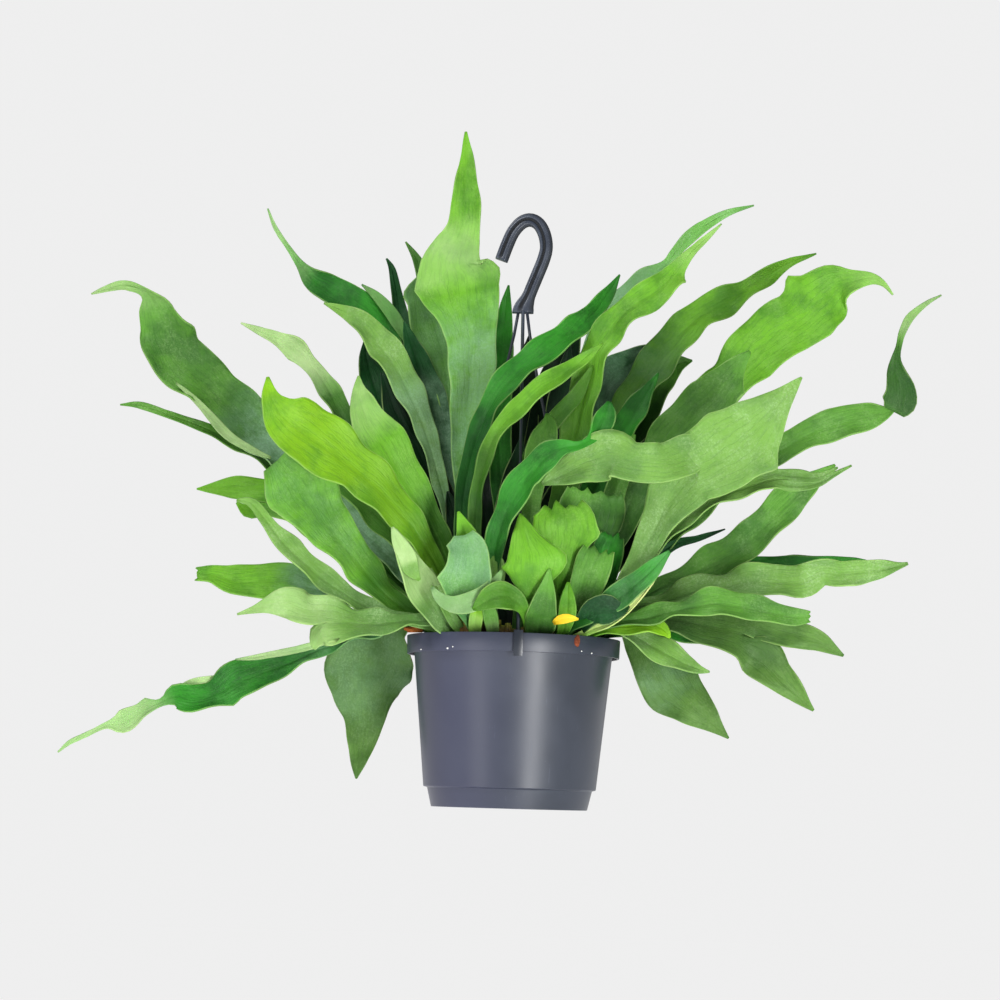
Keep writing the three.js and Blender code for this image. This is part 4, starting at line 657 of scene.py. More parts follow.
def frondMesh(name, frond, seed):
    look = lookOf(frond, seed)
    bm = bmesh.new()
    for layer in layerNames:
        bm.verts.layers.float.new(layer)
    stem, length = crossSections(frond["path"])
    look["length"] = length
    forks = []
    for share, path in zip((0.5, -0.5), frond.get("forks", [])):
        middle = bladePoint(stem[-1], share, look, blade["endless"])
        back = (middle - eye) / ((middle.y - eye.y) / -eye.y) + eye
        half, turn = (frond["path"][-1] + [0])[3:5]
        forks.append((share, *crossSections([[back.x, back.z, middle.y, half / 2, turn]] + path, length)))
    whole = length + max([run for share, rows, run in forks], default=0)
    layBlade(bm, stem, blade["columns"], look, whole)
    for i, (share, rows, run) in enumerate(forks):
        forkLook = dict(look, cup=blade["forkCup"], part=i + 1, length=run)
        layBlade(bm, rows, blade["columns"] // 2, forkLook, length + run,
                 lambda s: (share + s / 2, bladePoint(stem[-1], share + s / 2, look, whole)))
    for i, flap in enumerate(frond.get("flaps", [])):
        rows, run = crossSections(flap["path"])
        layBlade(bm, rows, blade["columns"] // 2, dict(lookOf(flap, seed + i + 3), length=run), run)
    bmesh.ops.remove_doubles(bm, verts=bm.verts, dist=blade["weld"] * mm)
    bmesh.ops.recalc_face_normals(bm, faces=bm.faces)
    bmesh.ops.solidify(bm, geom=list(bm.faces), thickness=blade["thickness"] * mm)
    bmesh.ops.recalc_face_normals(bm, faces=bm.faces)
    return finishMesh(name, bm)


def finishMesh(name, bm, crease=None):
    mesh = bpy.data.meshes.new(name)
    bm.to_mesh(mesh)
    bm.free()
    for polygon in mesh.polygons:
        polygon.use_smooth = True
    if crease:
        mesh.set_sharp_from_angle(angle=math.radians(crease))
    piece = bpy.data.objects.new(name, mesh)
    bpy.context.scene.collection.objects.link(piece)
    return piece


def declare(piece, material, slot, node=None):
    piece.data.materials.append(material)
    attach(piece, "root")
    if node:
        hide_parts(node)


class Wire:
    # a socket that can be used in sums
    def __init__(self, tree, socket):
        self.tree, self.socket = tree, socket

    def maths(self, operation, other):
        node = self.tree.nodes.new("ShaderNodeMath")
        node.operation = operation
        self.tree.links.new(self.socket, node.inputs[0])
        if isinstance(other, Wire):
            self.tree.links.new(other.socket, node.inputs[1])
        else:
            node.inputs[1].default_value = other
        return Wire(self.tree, node.outputs[0])

    def __add__(self, other):
        return self.maths("ADD", other)

    def __mul__(self, other):
        return self.maths("MULTIPLY", other)


class Finish:
    # a material with one Principled shader
    def __init__(self, name, **constants):
        self.material = bpy.data.materials.new(name)
        self.material.use_nodes = True
        self.tree = self.material.node_tree
        self.shader = self.tree.nodes["Principled BSDF"]
        for key, value in constants.items():
            self.shader.inputs[key].default_value = value

    def add(self, kind, settings=None, inputs=None, output=0):
        node = self.tree.nodes.new(kind)
        for key, value in (settings or {}).items():
            setattr(node, key, value)
        for key, value in (inputs or {}).items():
            if isinstance(value, Wire):
                self.tree.links.new(value.socket, node.inputs[key])
            else:
                node.inputs[key].default_value = value
        return Wire(self.tree, node.outputs[output])

    def attribute(self, name):
        return self.add("ShaderNodeAttribute", {"attribute_name": name}, output=2)

    def place(self):
        return self.add("ShaderNodeTexCoord", output=3)

    def axis(self, index):
        return self.add("ShaderNodeSeparateXYZ", {}, {0: self.place()}, output=index)

    def stretched(self, x, y, z):
        return self.add("ShaderNodeVectorMath", {"operation": "MULTIPLY"}, {0: self.place(), 1: (x, y, z)})

    def speckle(self, scale, detail=2.0, where=None, roughness=0.5):
        return self.add("ShaderNodeTexNoise", {}, {
            "Vector": where or self.place(), "Scale": scale, "Detail": detail, "Roughness": roughness})

    def between(self, value, low, high, start=0.0, end=1.0):
        return self.add("ShaderNodeMapRange", {"interpolation_type": "SMOOTHSTEP"}, {
            "Value": value, "From Min": low, "From Max": high, "To Min": start, "To Max": end})

    def mix(self, factor, first, second):
        return self.add("ShaderNodeMix", {"data_type": "RGBA"}, {0: factor, 6: first, 7: second}, output=2)

    def join(self, socket, value):
        self.tree.links.new(value.socket, self.shader.inputs[socket])

    def bump(self, height, strength, distance):
        self.join("Normal", self.add("ShaderNodeBump", {}, {
            "Height": height, "Strength": strength, "Distance": distance}))


# layers over a leaf's own tone: their colours, how strongly they cover, where they show and how fine
# they are
leafLook = {
    "bloom": (132, 172, 136), "light": (184, 212, 148), "shade": (12, 48, 22), "margin": (170, 204, 120),
    "paintedSideLightShare": 0.4, "patchShare": 0.62, "fibreShare": 0.28, "veinShare": 0.2, "shadeShare": 0.85,
    "marginShare": 0.3, "marginWidth": [0.1, 0.7],
    "broadHalf": [3, 10],  # half-widths between which fibres, veins and the pale margin come in
    "toneSpan": [0.02, 0.80],
    "patchScale": 26, "fibresAcross": 9, "fibresAlong": 0.07,
    "veins": 4.5, "veinFan": 0.004, "veinWander": 1.6, "veinWidth": 0.08,
    "feltScale": 560, "cloudScale": 42, "streakScale": 60,
    "roughness": 0.45, "grainScale": 380, "grainDepth": 0.0008,
}


def leafFinish(tone):
    *shades, feltShare = tones[tone]
    low, high, pale = [srgb(*shade) for shade in shades]
    leaf = Finish("leaf " + tone, **{
        "Subsurface Weight": 0.08, "Subsurface Radius": (0.4, 1.0, 0.2), "Subsurface Scale": 0.003,
        "Specular IOR Level": 0.16})
    span, margin = leaf.attribute("span"), leaf.attribute("margin")
    across, run = leaf.attribute("across"), leaf.attribute("run")
    broad = leaf.between(leaf.attribute("half"), *leafLook["broadHalf"])
    # base to tip: the frond's own change of colour, with the darker base partly painted shade near the
    # crown
    colour = leaf.mix(leaf.between(span, *leafLook["toneSpan"]), low, high)
    # painted light: one side of each blade is painted lighter, as if lit from that side
    paintedSideLight = leaf.between(across * 0.8 + leaf.speckle(18, 2) * 1.6, 0.1, 1.6)
    colour = leaf.mix(paintedSideLight * leafLook["paintedSideLightShare"], colour, high)
    patches = leaf.between(leaf.speckle(leafLook["patchScale"], 4, roughness=0.6), 0.42, 0.66)
    colour = leaf.mix(patches * leafLook["patchShare"], colour, low)
    # fibres run the length of the blade
    along = leaf.add("ShaderNodeCombineXYZ", {}, {
        0: across * leafLook["fibresAcross"], 1: run * leafLook["fibresAlong"]})
    fibres = leaf.between(leaf.speckle(1, 4, where=along, roughness=0.65), 0.46, 0.68) * broad
    colour = leaf.mix(fibres * leafLook["fibreShare"], colour, low)
    # veins fan out along the blade and divide
    wander = leaf.speckle(34, 2)
    fan = across * leafLook["veins"] + wander * leafLook["veinWander"] + run * leafLook["veinFan"]
    veins = leaf.add("ShaderNodeMath", {"operation": "PINGPONG"}, {0: fan, 1: 0.5})
    veinLine = leaf.between(veins, 0.0, leafLook["veinWidth"], 1.0, 0.0)
    colour = leaf.mix(veinLine * broad * leafLook["veinShare"], colour, low)
    # felt: fine pale specks in soft patches
    specks = leaf.between(leaf.speckle(leafLook["feltScale"], 3, roughness=0.8), 0.46, 0.62)
    clouds = leaf.between(leaf.speckle(leafLook["cloudScale"], 4, roughness=0.6), 0.40, 0.70)
    felt = (specks * 0.7 + 0.3) * (clouds * 0.8 + 0.2) * feltShare
    colour = leaf.mix(felt, colour, pale)
    # stretches set frond by frond: glaucous bloom; light, partly the leaf's own paler colour and partly a
    # painted highlight; and painted shade
    streaks = leaf.between(leaf.speckle(leafLook["streakScale"], 3, roughness=0.6), 0.30, 0.58)
    bloom = leaf.attribute("bloom") * (streaks * 0.7 + 0.3) * (specks * 0.3 + 0.7)
    colour = leaf.mix(bloom, colour, srgb(*leafLook["bloom"]))
    # partly the leaf's own paler colour, partly a painted highlight
    light = leaf.attribute("light") * (clouds * 0.3 + 0.7)
    colour = leaf.mix(light, colour, srgb(*leafLook["light"]))
    # painted shade over shaded folds and lower parts
    shade = leaf.attribute("shade") * leafLook["shadeShare"]
    colour = leaf.mix(shade, colour, srgb(*leafLook["shade"]))
    # a pale line along the margins of broad blades: partly the felted margin's own paler colour, partly a
    # painted highlight on the edge
    line = leaf.between(margin, *leafLook["marginWidth"], 1.0, 0.0) * broad
    colour = leaf.mix(line * leafLook["marginShare"], colour, srgb(*leafLook["margin"]))
    leaf.join("Base Color", colour)
    leaf.join("Roughness", felt * 0.4 + bloom * 0.2 + leafLook["roughness"])
    grain = leaf.speckle(leafLook["grainScale"], 4)
    leaf.bump(grain * 0.7 + fibres * -0.5 + veinLine * broad * -0.4, 0.45, leafLook["grainDepth"])
    return leaf.material


leaves = {tone: leafFinish(tone) for tone in tones}
for number, (name, frond) in enumerate(fronds.items()):
    piece = frondMesh("look_frond_" + name, frond, number * blade["seedStep"])
    declare(piece, leaves[frond.get("look", frond["tone"])], "frond_" + frond["tone"], "frond_" + name)
print("fronds", len(fronds))

for number, (name, sprout) in enumerate(sprouts.items()):
    piece = frondMesh("look_sprout_" + name, sprout, blade["sproutSeed"] + number * blade["seedStep"])
    slotTone = {"yellow": "young", "inner": "dark"}.get(sprout["tone"], sprout["tone"])
    declare(piece, leaves[sprout["tone"]], "frond_" + slotTone)
print("sprouts", len(sprouts))

pot = {
    "height": 134, "wall": 1.8, "floor": 2.4, "lip": 2.6, "step": 0.8,
    "footRadius": 61.5, "footTopRadius": 65, "footHeight": 15,
    "bodyRadius": 68, "bodyTopRadius": 79.4,
    "rimRadius": 84.5, "rimHeight": 14.5, "rimWall": 1.8, "rimTaper": 0.5,
    "steps": 160, "bevel": 0.45, "bevelAngle": 25,
    "holes": 6, "holeRadius": 4, "holeCircle": 38,
    # the lighter violet laid over the pot's left side is a painted sheen
    "slate": (34, 41, 53), "paintedSheen": (60, 62, 88), "worn": (84, 90, 106), "dust": (176, 176, 178),
    "paintedSheenShare": 0.7, "paintedSheenReach": [-0.06, 0.03],  # in metres across the pot
    "wornShare": 0.14, "scuffShare": 0.25, "dustShare": 0.35, "roughness": 0.34,
}


def turnedShape(bm, outline, steps):
    # spins an outline of [radius, height] points, in millimetres, about the pot's axis
    points = [bm.verts.new((radius * mm, 0, height * mm)) for radius, height in outline]
    edges = [bm.edges.new(pair) for pair in zip(points, points[1:])]
    bmesh.ops.spin(bm, geom=points + edges, cent=(0, 0, 0), axis=(0, 0, 1),
                   angle=2 * math.pi, steps=steps, use_merge=True)
    bmesh.ops.remove_doubles(bm, verts=bm.verts, dist=0.01 * mm)
    bmesh.ops.recalc_face_normals(bm, faces=bm.faces)


def roundEdges(bm, width, angle):
    sharp = [e for e in bm.edges if len(e.link_faces) == 2 and e.calc_face_angle() > math.radians(angle)]
    bmesh.ops.bevel(bm, geom=sharp, offset=width * mm, segments=2, profile=0.5,
                    affect="EDGES", material=-1, clamp_overlap=True)


def makePot():
    rimBottom = pot["height"] - pot["rimHeight"]
    skirt = pot["rimRadius"] - pot["rimWall"]
    bm = bmesh.new()
    turnedShape(bm, [
        [0, 0], [pot["footRadius"], 0], [pot["footTopRadius"], pot["footHeight"]],
        [pot["bodyRadius"], pot["footHeight"] + pot["step"]],
        [pot["bodyTopRadius"], pot["height"] - pot["lip"]], [skirt, pot["height"] - pot["lip"]],
        [skirt - pot["rimTaper"], rimBottom], [pot["rimRadius"] - pot["rimTaper"], rimBottom],
        [pot["rimRadius"], pot["height"]], [pot["bodyTopRadius"] - pot["wall"], pot["height"]],
        [pot["bodyRadius"] - pot["wall"], pot["footHeight"] + pot["floor"]],
        [pot["footTopRadius"] - pot["wall"], pot["footHeight"] + pot["step"]],
        [pot["footRadius"] - pot["wall"], pot["floor"]], [0, pot["floor"]]], pot["steps"])
    roundEdges(bm, pot["bevel"], pot["bevelAngle"])
    shell = finishMesh("look_pot", bm, crease=40)
    bm = bmesh.new()
    for i in range(pot["holes"]):
        angle = (i + 0.5) * 2 * math.pi / pot["holes"]
        at = Vector((math.cos(angle), math.sin(angle), 0)) * pot["holeCircle"] * mm
        bmesh.ops.create_cone(bm, cap_ends=True, segments=32, radius1=pot["holeRadius"] * mm,
                              radius2=pot["holeRadius"] * mm, depth=4 * pot["floor"] * mm,
                              matrix=Matrix.Translation(at))
    drills = finishMesh("drills", bm)
    cut = shell.modifiers.new("holes", "BOOLEAN")
    cut.operation, cut.object = "DIFFERENCE", drills
    depsgraph = bpy.context.evaluated_depsgraph_get()
    drained = bpy.data.meshes.new_from_object(shell.evaluated_get(depsgraph))
    shell.modifiers.clear()
    shell.data = drained
    bpy.data.objects.remove(drills)
    return shell


def potFinish():
    plastic = Finish("pot plastic", **{"Specular IOR Level": 0.55})
    slate, paintedSheen, worn, dusty = [srgb(*pot[name]) for name in ("slate", "paintedSheen", "worn", "dust")]
    # painted sheen: the left side is painted lighter and more violet
    side = plastic.between(plastic.axis(0), *pot["paintedSheenReach"], 1.0, 0.0)
    colour = plastic.mix(side * pot["paintedSheenShare"], slate, paintedSheen)
    clouds = plastic.between(plastic.speckle(16, 3), 0.35, 0.7)
    colour = plastic.mix(clouds * pot["wornShare"], colour, worn)
    streaks = plastic.speckle(1, 4, where=plastic.stretched(420, 420, 14))
    scuffs = plastic.between(streaks, 0.66, 0.74)
    colour = plastic.mix(scuffs * pot["scuffShare"], colour, worn)
    dust = plastic.between(plastic.speckle(900, 2, roughness=0.8), 0.72, 0.80)
    colour = plastic.mix(dust * pot["dustShare"], colour, dusty)
    plastic.join("Base Color", colour)
    plastic.join("Roughness", clouds * 0.06 + scuffs * 0.1 + pot["roughness"])
    plastic.bump(plastic.speckle(1600, 2), 0.12, 0.0002)
    return plastic.material


declare(makePot(), potFinish(), "pot", "pot")
print("pot")

hanger = {
    "bevel": 0.4, "bevelAngle": 32,
    "flat": 1.5,  # neighbouring faces of the moulding within this many degrees become one
    # middle of the hook's band on the front elevation, from its free end to the bottom of the foot
    "line": [(-18.4, 438), (-14, 451), (-9.2, 462), (-2.6, 469.6), (4.6, 471.8), (11.2, 468.4),
             (15.8, 460), (17.5, 449.5), (15.5, 439.5), (11.5, 428.5), (7.5, 418), (3.4, 407),
             (0.8, 401), (0, 395.6)],
    "spacing": 2.2,
    "half": 5.2, "footHalf": 8.6, "footLength": 17,
    "shoulder": 4.5, "shoulderDrop": 0.4, "backHalf": 4.4, "backDrop": 0.6,
    "flankIn": 2.1, "flankDrop": 2.2,  # the bare flank: how far in it starts, how far it falls away
    "crest": 0.2,
    "depth": 3.4, "footDepth": 4.4,  # from the middle to the front of a flange
    "groove": 1.9, "grooveShift": 1.7, "grooveHalf": 1.5, "grooveFloor": 0.6,
    "grooveEnd": 2.6,  # length left solid at either end
    # share of the painted shade that stays where the groove closes at its ends
    "paintedShadeLeast": 0.3,
    "cut": 395.2,  # height above which the moulding is drawn by the line
    "overlap": 1.4,  # how far the rods run on into the foot
    # the darkest colour here is painted shade, laid in the groove, on the falling flank and along the back
    # corners, which are also made rougher
    "slate": (44, 51, 64), "worn": (82, 91, 104), "paintedShade": (6, 9, 13), "dark": (18, 23, 30),
    "wornShare": 0.3, "paintedShadeShare": 0.97,
    "darkShare": 0.6, "darkReach": [0.36, 0.395],  # in metres up, where the rods turn dark downwards
    "roughness": 0.3, "paintedShadeRoughness": 0.5,
}


def hookSection(half, lean, depth, groove):
    # corners of one section: across, towards the front, and how much painted shade lies there. The groove
    # keeps to the left of the band and a bare flank falls away on its right, whichever way the band runs.
    # Painted shade fills the groove's floor, that flank and the back's outer corners.
    edge, back, middle = hanger["half"], hanger["backHalf"], -hanger["grooveShift"] * lean
    mouth, bed, crest = hanger["grooveHalf"], hanger["grooveFloor"], hanger["crest"]
    right, left = (1 + lean) / 2, (1 - lean) / 2
    rim, low, behind = depth - hanger["shoulderDrop"], depth - groove, hanger["backDrop"] - depth
    corners = [
        (-edge, rim - hanger["flankDrop"] * left, left),
        (-hanger["shoulder"] + hanger["flankIn"] * left, depth + crest * left, crest * left),
        (middle - mouth, depth - crest, 0), (middle - bed, low, 1),
        (middle + bed, low, 1), (middle + mouth, depth - crest, 0),
        (hanger["shoulder"] - hanger["flankIn"] * right, depth + crest * right, crest * right),
        (edge, rim - hanger["flankDrop"] * right, right),
        (edge, behind, 1), (back, -depth, 0), (-back, -depth, 0), (-edge, behind, 1)]
    wide = half / edge
    return [(u * wide, w, paintedShade) for u, w, paintedShade in corners]


def makeHook(bm):
    points = [Vector((x, 0, z)) for x, z in hanger["line"]]
    steps, length = evenSteps(points, hanger["spacing"])
    # the layer named groove holds how much painted shade each corner carries
    corner, paintedShadeLayer = bm.verts.layers.int.new("corner"), bm.verts.layers.float.new("groove")
    ring = bmesh.ops.create_circle(bm, segments=12, radius=1)["verts"]
    for i, v in enumerate(ring):
        v[corner] = i
    edges = list({e for v in ring for e in v.link_edges})
    for i, (t, run) in enumerate(steps):
        if i:
            made = bmesh.ops.extrude_edge_only(bm, edges=edges)["geom"]
            ring = [part for part in made if isinstance(part, bmesh.types.BMVert)]
            edges = [part for part in made if isinstance(part, bmesh.types.BMEdge)]
        low = max(0, 1 - (length - run) / hanger["footLength"])
        blend = low * low * (3 - 2 * low)
        across = sight.cross(headingAt(points, t)).lerp(Vector((-1, 0, 0)), blend).normalized()
        half = hanger["half"] + (hanger["footHalf"] - hanger["half"]) * blend
        depth = hanger["depth"] + (hanger["footDepth"] - hanger["depth"]) * blend
        solid = min(1, min(run, length - run) / hanger["grooveEnd"]) ** 3
        section = hookSection(half, across.x, depth, hanger["groove"] * solid)
        for v in ring:
            u, w, paintedShade = section[v[corner]]
            v.co = (splineAt(points, t) + across * u - sight * w) * mm
            v[paintedShadeLayer] = paintedShade * (hanger["paintedShadeLeast"] + (1 - hanger["paintedShadeLeast"]) * solid)
    bmesh.ops.holes_fill(bm, edges=[e for e in bm.edges if e.is_boundary], sides=0)
    bmesh.ops.recalc_face_normals(bm, faces=bm.faces)
    roundEdges(bm, hanger["bevel"], hanger["bevelAngle"])


def makeHanger():
    # rods and clips keep the moulding's own shape, with every edge softened
    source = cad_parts["hanger"]
    bm = bmesh.new()
    bm.from_mesh(source.data)
    bmesh.ops.transform(bm, matrix=source.matrix_world, verts=bm.verts)
    bmesh.ops.remove_doubles(bm, verts=bm.verts, dist=0.01 * mm)
    bmesh.ops.dissolve_limit(bm, angle_limit=math.radians(hanger["flat"]), verts=bm.verts, edges=bm.edges)
    whole = list(bm.verts) + list(bm.edges) + list(bm.faces)
    top = Vector((0, 0, hanger["cut"] * mm))
    bmesh.ops.bisect_plane(bm, geom=whole, plane_co=top, plane_no=(0, 0, 1), clear_outer=True)
    ends = [e for e in bm.edges if e.is_boundary]
    rodTops = list({v for e in ends for v in e.verts})
    bmesh.ops.translate(bm, verts=rodTops, vec=(0, 0, hanger["overlap"] * mm))
    bmesh.ops.holes_fill(bm, edges=ends, sides=0)
    bmesh.ops.recalc_face_normals(bm, faces=bm.faces)
    roundEdges(bm, hanger["bevel"], hanger["bevelAngle"])
    hook = bmesh.new()
    makeHook(hook)
    hookMesh = bpy.data.meshes.new("hook")
    hook.to_mesh(hookMesh)
    hook.free()
    bm.from_mesh(hookMesh)
    bpy.data.meshes.remove(hookMesh)
    return finishMesh("look_hanger", bm, crease=50)


def hangerFinish():
    plastic = Finish("hanger plastic", **{"Specular IOR Level": 0.6})
    slate, worn, paintedShadeColour, dark = [srgb(*hanger[name]) for name in ("slate", "worn", "paintedShade", "dark")]
    clouds = plastic.between(plastic.speckle(55, 4), 0.4, 0.72)
    colour = plastic.mix(clouds * hanger["wornShare"], slate, worn)
    # painted shade in the groove, on the falling flank and on the back corners, which are also rougher
    paintedShade = plastic.attribute("groove")
    colour = plastic.mix(paintedShade * hanger["paintedShadeShare"], colour, paintedShadeColour)
    low = plastic.between(plastic.axis(2), *hanger["darkReach"], 1.0, 0.0)
    colour = plastic.mix(low * hanger["darkShare"], colour, dark)
    plastic.join("Base Color", colour)
    plastic.join("Roughness", clouds * 0.12 + paintedShade * hanger["paintedShadeRoughness"] + hanger["roughness"])
    plastic.bump(plastic.speckle(300, 3), 0.06, 0.0003)
    return plastic.material


declare(makeHanger(), hangerFinish(), "hanger", "hanger")
print("hanger")

medium = {
    "bottom": 2.7, "bottomRadius": 59, "stepRadius": 62.5, "stepHeight": 16, "step": 3, "wallRadius": 65,
    "edgeRadius": 76.2, "edgeHeight": 123, "topHeight": 126, "rings": 16, "steps": 120,
    "lump": 1.32, "lumpFrom": 120, "lumpScale": 260, "fineScale": 620,
    "chips": 190, "chipRing": [54, 74], "chipSize": [3.5, 9.0], "chipRise": [-1, 3],
    "chipWidth": [0.3, 0.7], "chipHeight": [0.2, 0.4],  # shares of the chip's length
    "chipTurn": [0, 6.3], "chipTilt": [-0.7, 0.7], "ragged": 0.35, "chipBevel": 0.35,
    "colours": [(44, 30, 20), (104, 70, 42)],
}


def ringSpot(ring):
    # a place in a ring about the pot's axis
    angle = random.uniform(0, 2 * math.pi)
    radius = random.uniform(*ring)
    return radius * math.cos(angle), radius * math.sin(angle)


def addChip(bm, at, size, turn):
    # a torn flake of bark
    cube = bmesh.ops.create_cube(bm, size=1)
    around, over, along = [Matrix.Rotation(angle, 4, axis) for angle, axis in zip(turn, "ZXY")]
    for v in cube["verts"]:
        ragged = 1 + medium["ragged"] * noise.noise(v.co * 3 + at)
        flake = Vector((v.co.x * size[0], v.co.y * size[1], v.co.z * size[2]))
        v.co = (at + around @ over @ along @ flake * ragged) * mm
    edges = list({e for v in cube["verts"] for e in v.link_edges})
    bmesh.ops.bevel(bm, geom=edges, offset=medium["chipBevel"] * mm, segments=1, profile=0.5,
                    affect="EDGES", material=-1)


def makeMedium():
    bm = bmesh.new()
    top = [[medium["edgeRadius"] * (1 - i / medium["rings"]), medium["topHeight"]]
           for i in range(1, medium["rings"] + 1)]
    turnedShape(bm, [[0, medium["bottom"]], [medium["bottomRadius"], medium["bottom"]],
                     [medium["stepRadius"], medium["stepHeight"]],
                     [medium["wallRadius"], medium["stepHeight"] + medium["step"]],
                     [medium["edgeRadius"], medium["edgeHeight"]]] + top, medium["steps"])
    for v in bm.verts:
        if v.co.z > medium["lumpFrom"] * mm:
            lump = noise.noise(v.co * medium["lumpScale"]) + 0.5 * noise.noise(v.co * medium["fineScale"])
            v.co.z += lump * medium["lump"] * mm
    for i in range(medium["chips"]):
        x, y = ringSpot(medium["chipRing"])
        size = random.uniform(*medium["chipSize"])
        at = Vector((x, y, medium["topHeight"] + random.uniform(*medium["chipRise"])))
        width, height = [size * random.uniform(*medium[key]) for key in ("chipWidth", "chipHeight")]
        turn = [random.uniform(*medium[key]) for key in ("chipTurn", "chipTilt", "chipTilt")]
        addChip(bm, at, (size, width, height), turn)
    bmesh.ops.recalc_face_normals(bm, faces=bm.faces)
    return finishMesh("look_growing_medium", bm, crease=35)


def barkFinish(name, colours):
    dark, light = [srgb(*colour) for colour in colours]
    bark = Finish(name, **{"Specular IOR Level": 0.25})
    grain = bark.between(bark.speckle(1, 4, where=bark.stretched(300, 300, 900)), 0.35, 0.7)
    clouds = bark.between(bark.speckle(90, 3), 0.35, 0.7)
    colour = bark.mix(clouds * 0.8, dark, light)
    colour = bark.mix(grain * 0.4, colour, dark)
    bark.join("Base Color", colour)
    bark.join("Roughness", clouds * 0.15 + 0.78)
    bark.bump(grain + bark.speckle(600, 4), 0.6, 0.0008)
    return bark.material


soil = barkFinish("bark medium", medium["colours"])
declare(makeMedium(), soil, "growing_medium", "growing_medium")
print("medium")

crown = {
    "outline": [[0, 112.3], [52, 112.3], [64, 126], [62, 131], [54, 135], [46, 138], [36, 140],
                [26, 141.5], [13, 142.6], [0, 143]],
    "steps": 96, "lump": 1.8, "lumpScale": 120, "fineScale": 420,
    "stubs": 46, "stubRing": [12, 58], "stubRadius": [1.6, 3.4], "stubHeight": [9, 24], "stubFoot": 132,
    # stalks cut short over the front rim: x, y and height, drawn in towards the axis by a share
    "frontStubs": [[-46, -62, 26], [-41, -66, 30], [-35, -60, 22], [-30, -66, 30], [-24, -62, 24],
                   [-19, -66, 20], [-38, -52, 28], [-27, -54, 26], [8, -62, 12], [16, -66, 10],
                   [24, -62, 14], [-52, -54, 20], [34, -60, 16], [42, -54, 18]],
    "frontShare": 0.85, "frontFoot": 128, "frontExtra": 0.6,
    "lean": 0.004, "taper": 0.62, "cuts": 5, "straight": 0.6, "bendHeight": 40,
    "scales": [(58, 42, 24), (120, 92, 44)], "stalks": [(126, 156, 46), (196, 196, 82)],
    "stalkHeight": [0.136, 0.150],  # in metres, where scales give way to stalks
}


def addStub(bm, at, height, radius):
    # a leaf stalk broken or cut short, leaning outwards
    lean = Vector((at.x, at.y, 0)) * crown["lean"]
    cone = bmesh.ops.create_cone(bm, cap_ends=True, segments=12, radius1=radius, depth=height,
                                 radius2=radius * crown["taper"],
                                 matrix=Matrix.Translation((0, 0, height / 2)))
    sides = [e for v in cone["verts"] for e in v.link_edges if abs(e.verts[0].co.z - e.verts[1].co.z) > 1]
    bmesh.ops.subdivide_edges(bm, edges=list(set(sides)), cuts=crown["cuts"])
    for v in [v for v in bm.verts if not v.tag]:
        v.tag = True
        rise = v.co.z
        v.co = (at + v.co + lean * rise * (crown["straight"] + rise / crown["bendHeight"])) * mm


def makeRhizome():
    bm = bmesh.new()
    turnedShape(bm, crown["outline"], crown["steps"])
    bmesh.ops.subdivide_edges(bm, edges=bm.edges, cuts=1, use_grid_fill=True)
    for v in bm.verts:
        v.tag = True
        lump = noise.noise(v.co * crown["lumpScale"]) + 0.5 * noise.noise(v.co * crown["fineScale"])
        v.co.z += lump * crown["lump"] * mm
    for x, y, height in crown["frontStubs"]:
        at = Vector((x * crown["frontShare"], y * crown["frontShare"], crown["frontFoot"]))
        addStub(bm, at, height, random.uniform(*crown["stubRadius"]) + crown["frontExtra"])
    for i in range(crown["stubs"]):
        at = Vector((*ringSpot(crown["stubRing"]), crown["stubFoot"]))
        addStub(bm, at, random.uniform(*crown["stubHeight"]), random.uniform(*crown["stubRadius"]))
    bmesh.ops.recalc_face_normals(bm, faces=bm.faces)
    return finishMesh("look_rhizome", bm, crease=50)


def crownFinish():
    skin = Finish("crown", **{"Specular IOR Level": 0.3})
    brown, tan, green, straw = [srgb(*colour) for colour in crown["scales"] + crown["stalks"]]
    height = skin.between(skin.axis(2), *crown["stalkHeight"])
    scales = skin.between(skin.speckle(240, 4, roughness=0.7), 0.35, 0.65)
    ground = skin.mix(scales, brown, tan)
    streaks = skin.between(skin.speckle(1, 3, where=skin.stretched(500, 500, 60)), 0.35, 0.7)
    skin.join("Base Color", skin.mix(height, ground, skin.mix(streaks, green, straw)))
    skin.join("Roughness", scales * 0.2 + 0.55)
    skin.bump(scales, 0.5, 0.0008)
    return skin.material


declare(makeRhizome(), crownFinish(), "rhizome", "rhizome")
print("rhizome")

crumbs = {
    "bark": {"at": [-77, -30, 137], "size": [13, 7, 4.4], "pieces": 5, "share": [0.3, 0.55],
             "shift": [[-6, 6], [-5, 5], [-0.6, 1.2]],
             "turn": [-0.5, 0.5], "over": 0.1, "tilt": [-0.3, 0.3],
             "colours": [(132, 70, 24), (196, 118, 48)]},
    "clay": {"x": 48.5, "z": [125.5, 134], "width": 5.2, "thickness": 1.1, "lump": 0.3,
             "colours": [(98, 46, 26), (152, 78, 48)]},
    "specks": {"at": [[-72, 121], [-51, 121.2], [-47, 122.4], [52, 122], [60, 121]], "radius": 0.8,
               "share": [0.5, 1], "sunk": -0.1, "colours": [(214, 214, 210), (244, 244, 240)]},
}


def onRim(x, z, out=0.0):
    # a point on the front of the rim's outer face
    radius = pot["rimRadius"] + out
    return Vector((x, -math.sqrt(radius * radius - x * x), z))


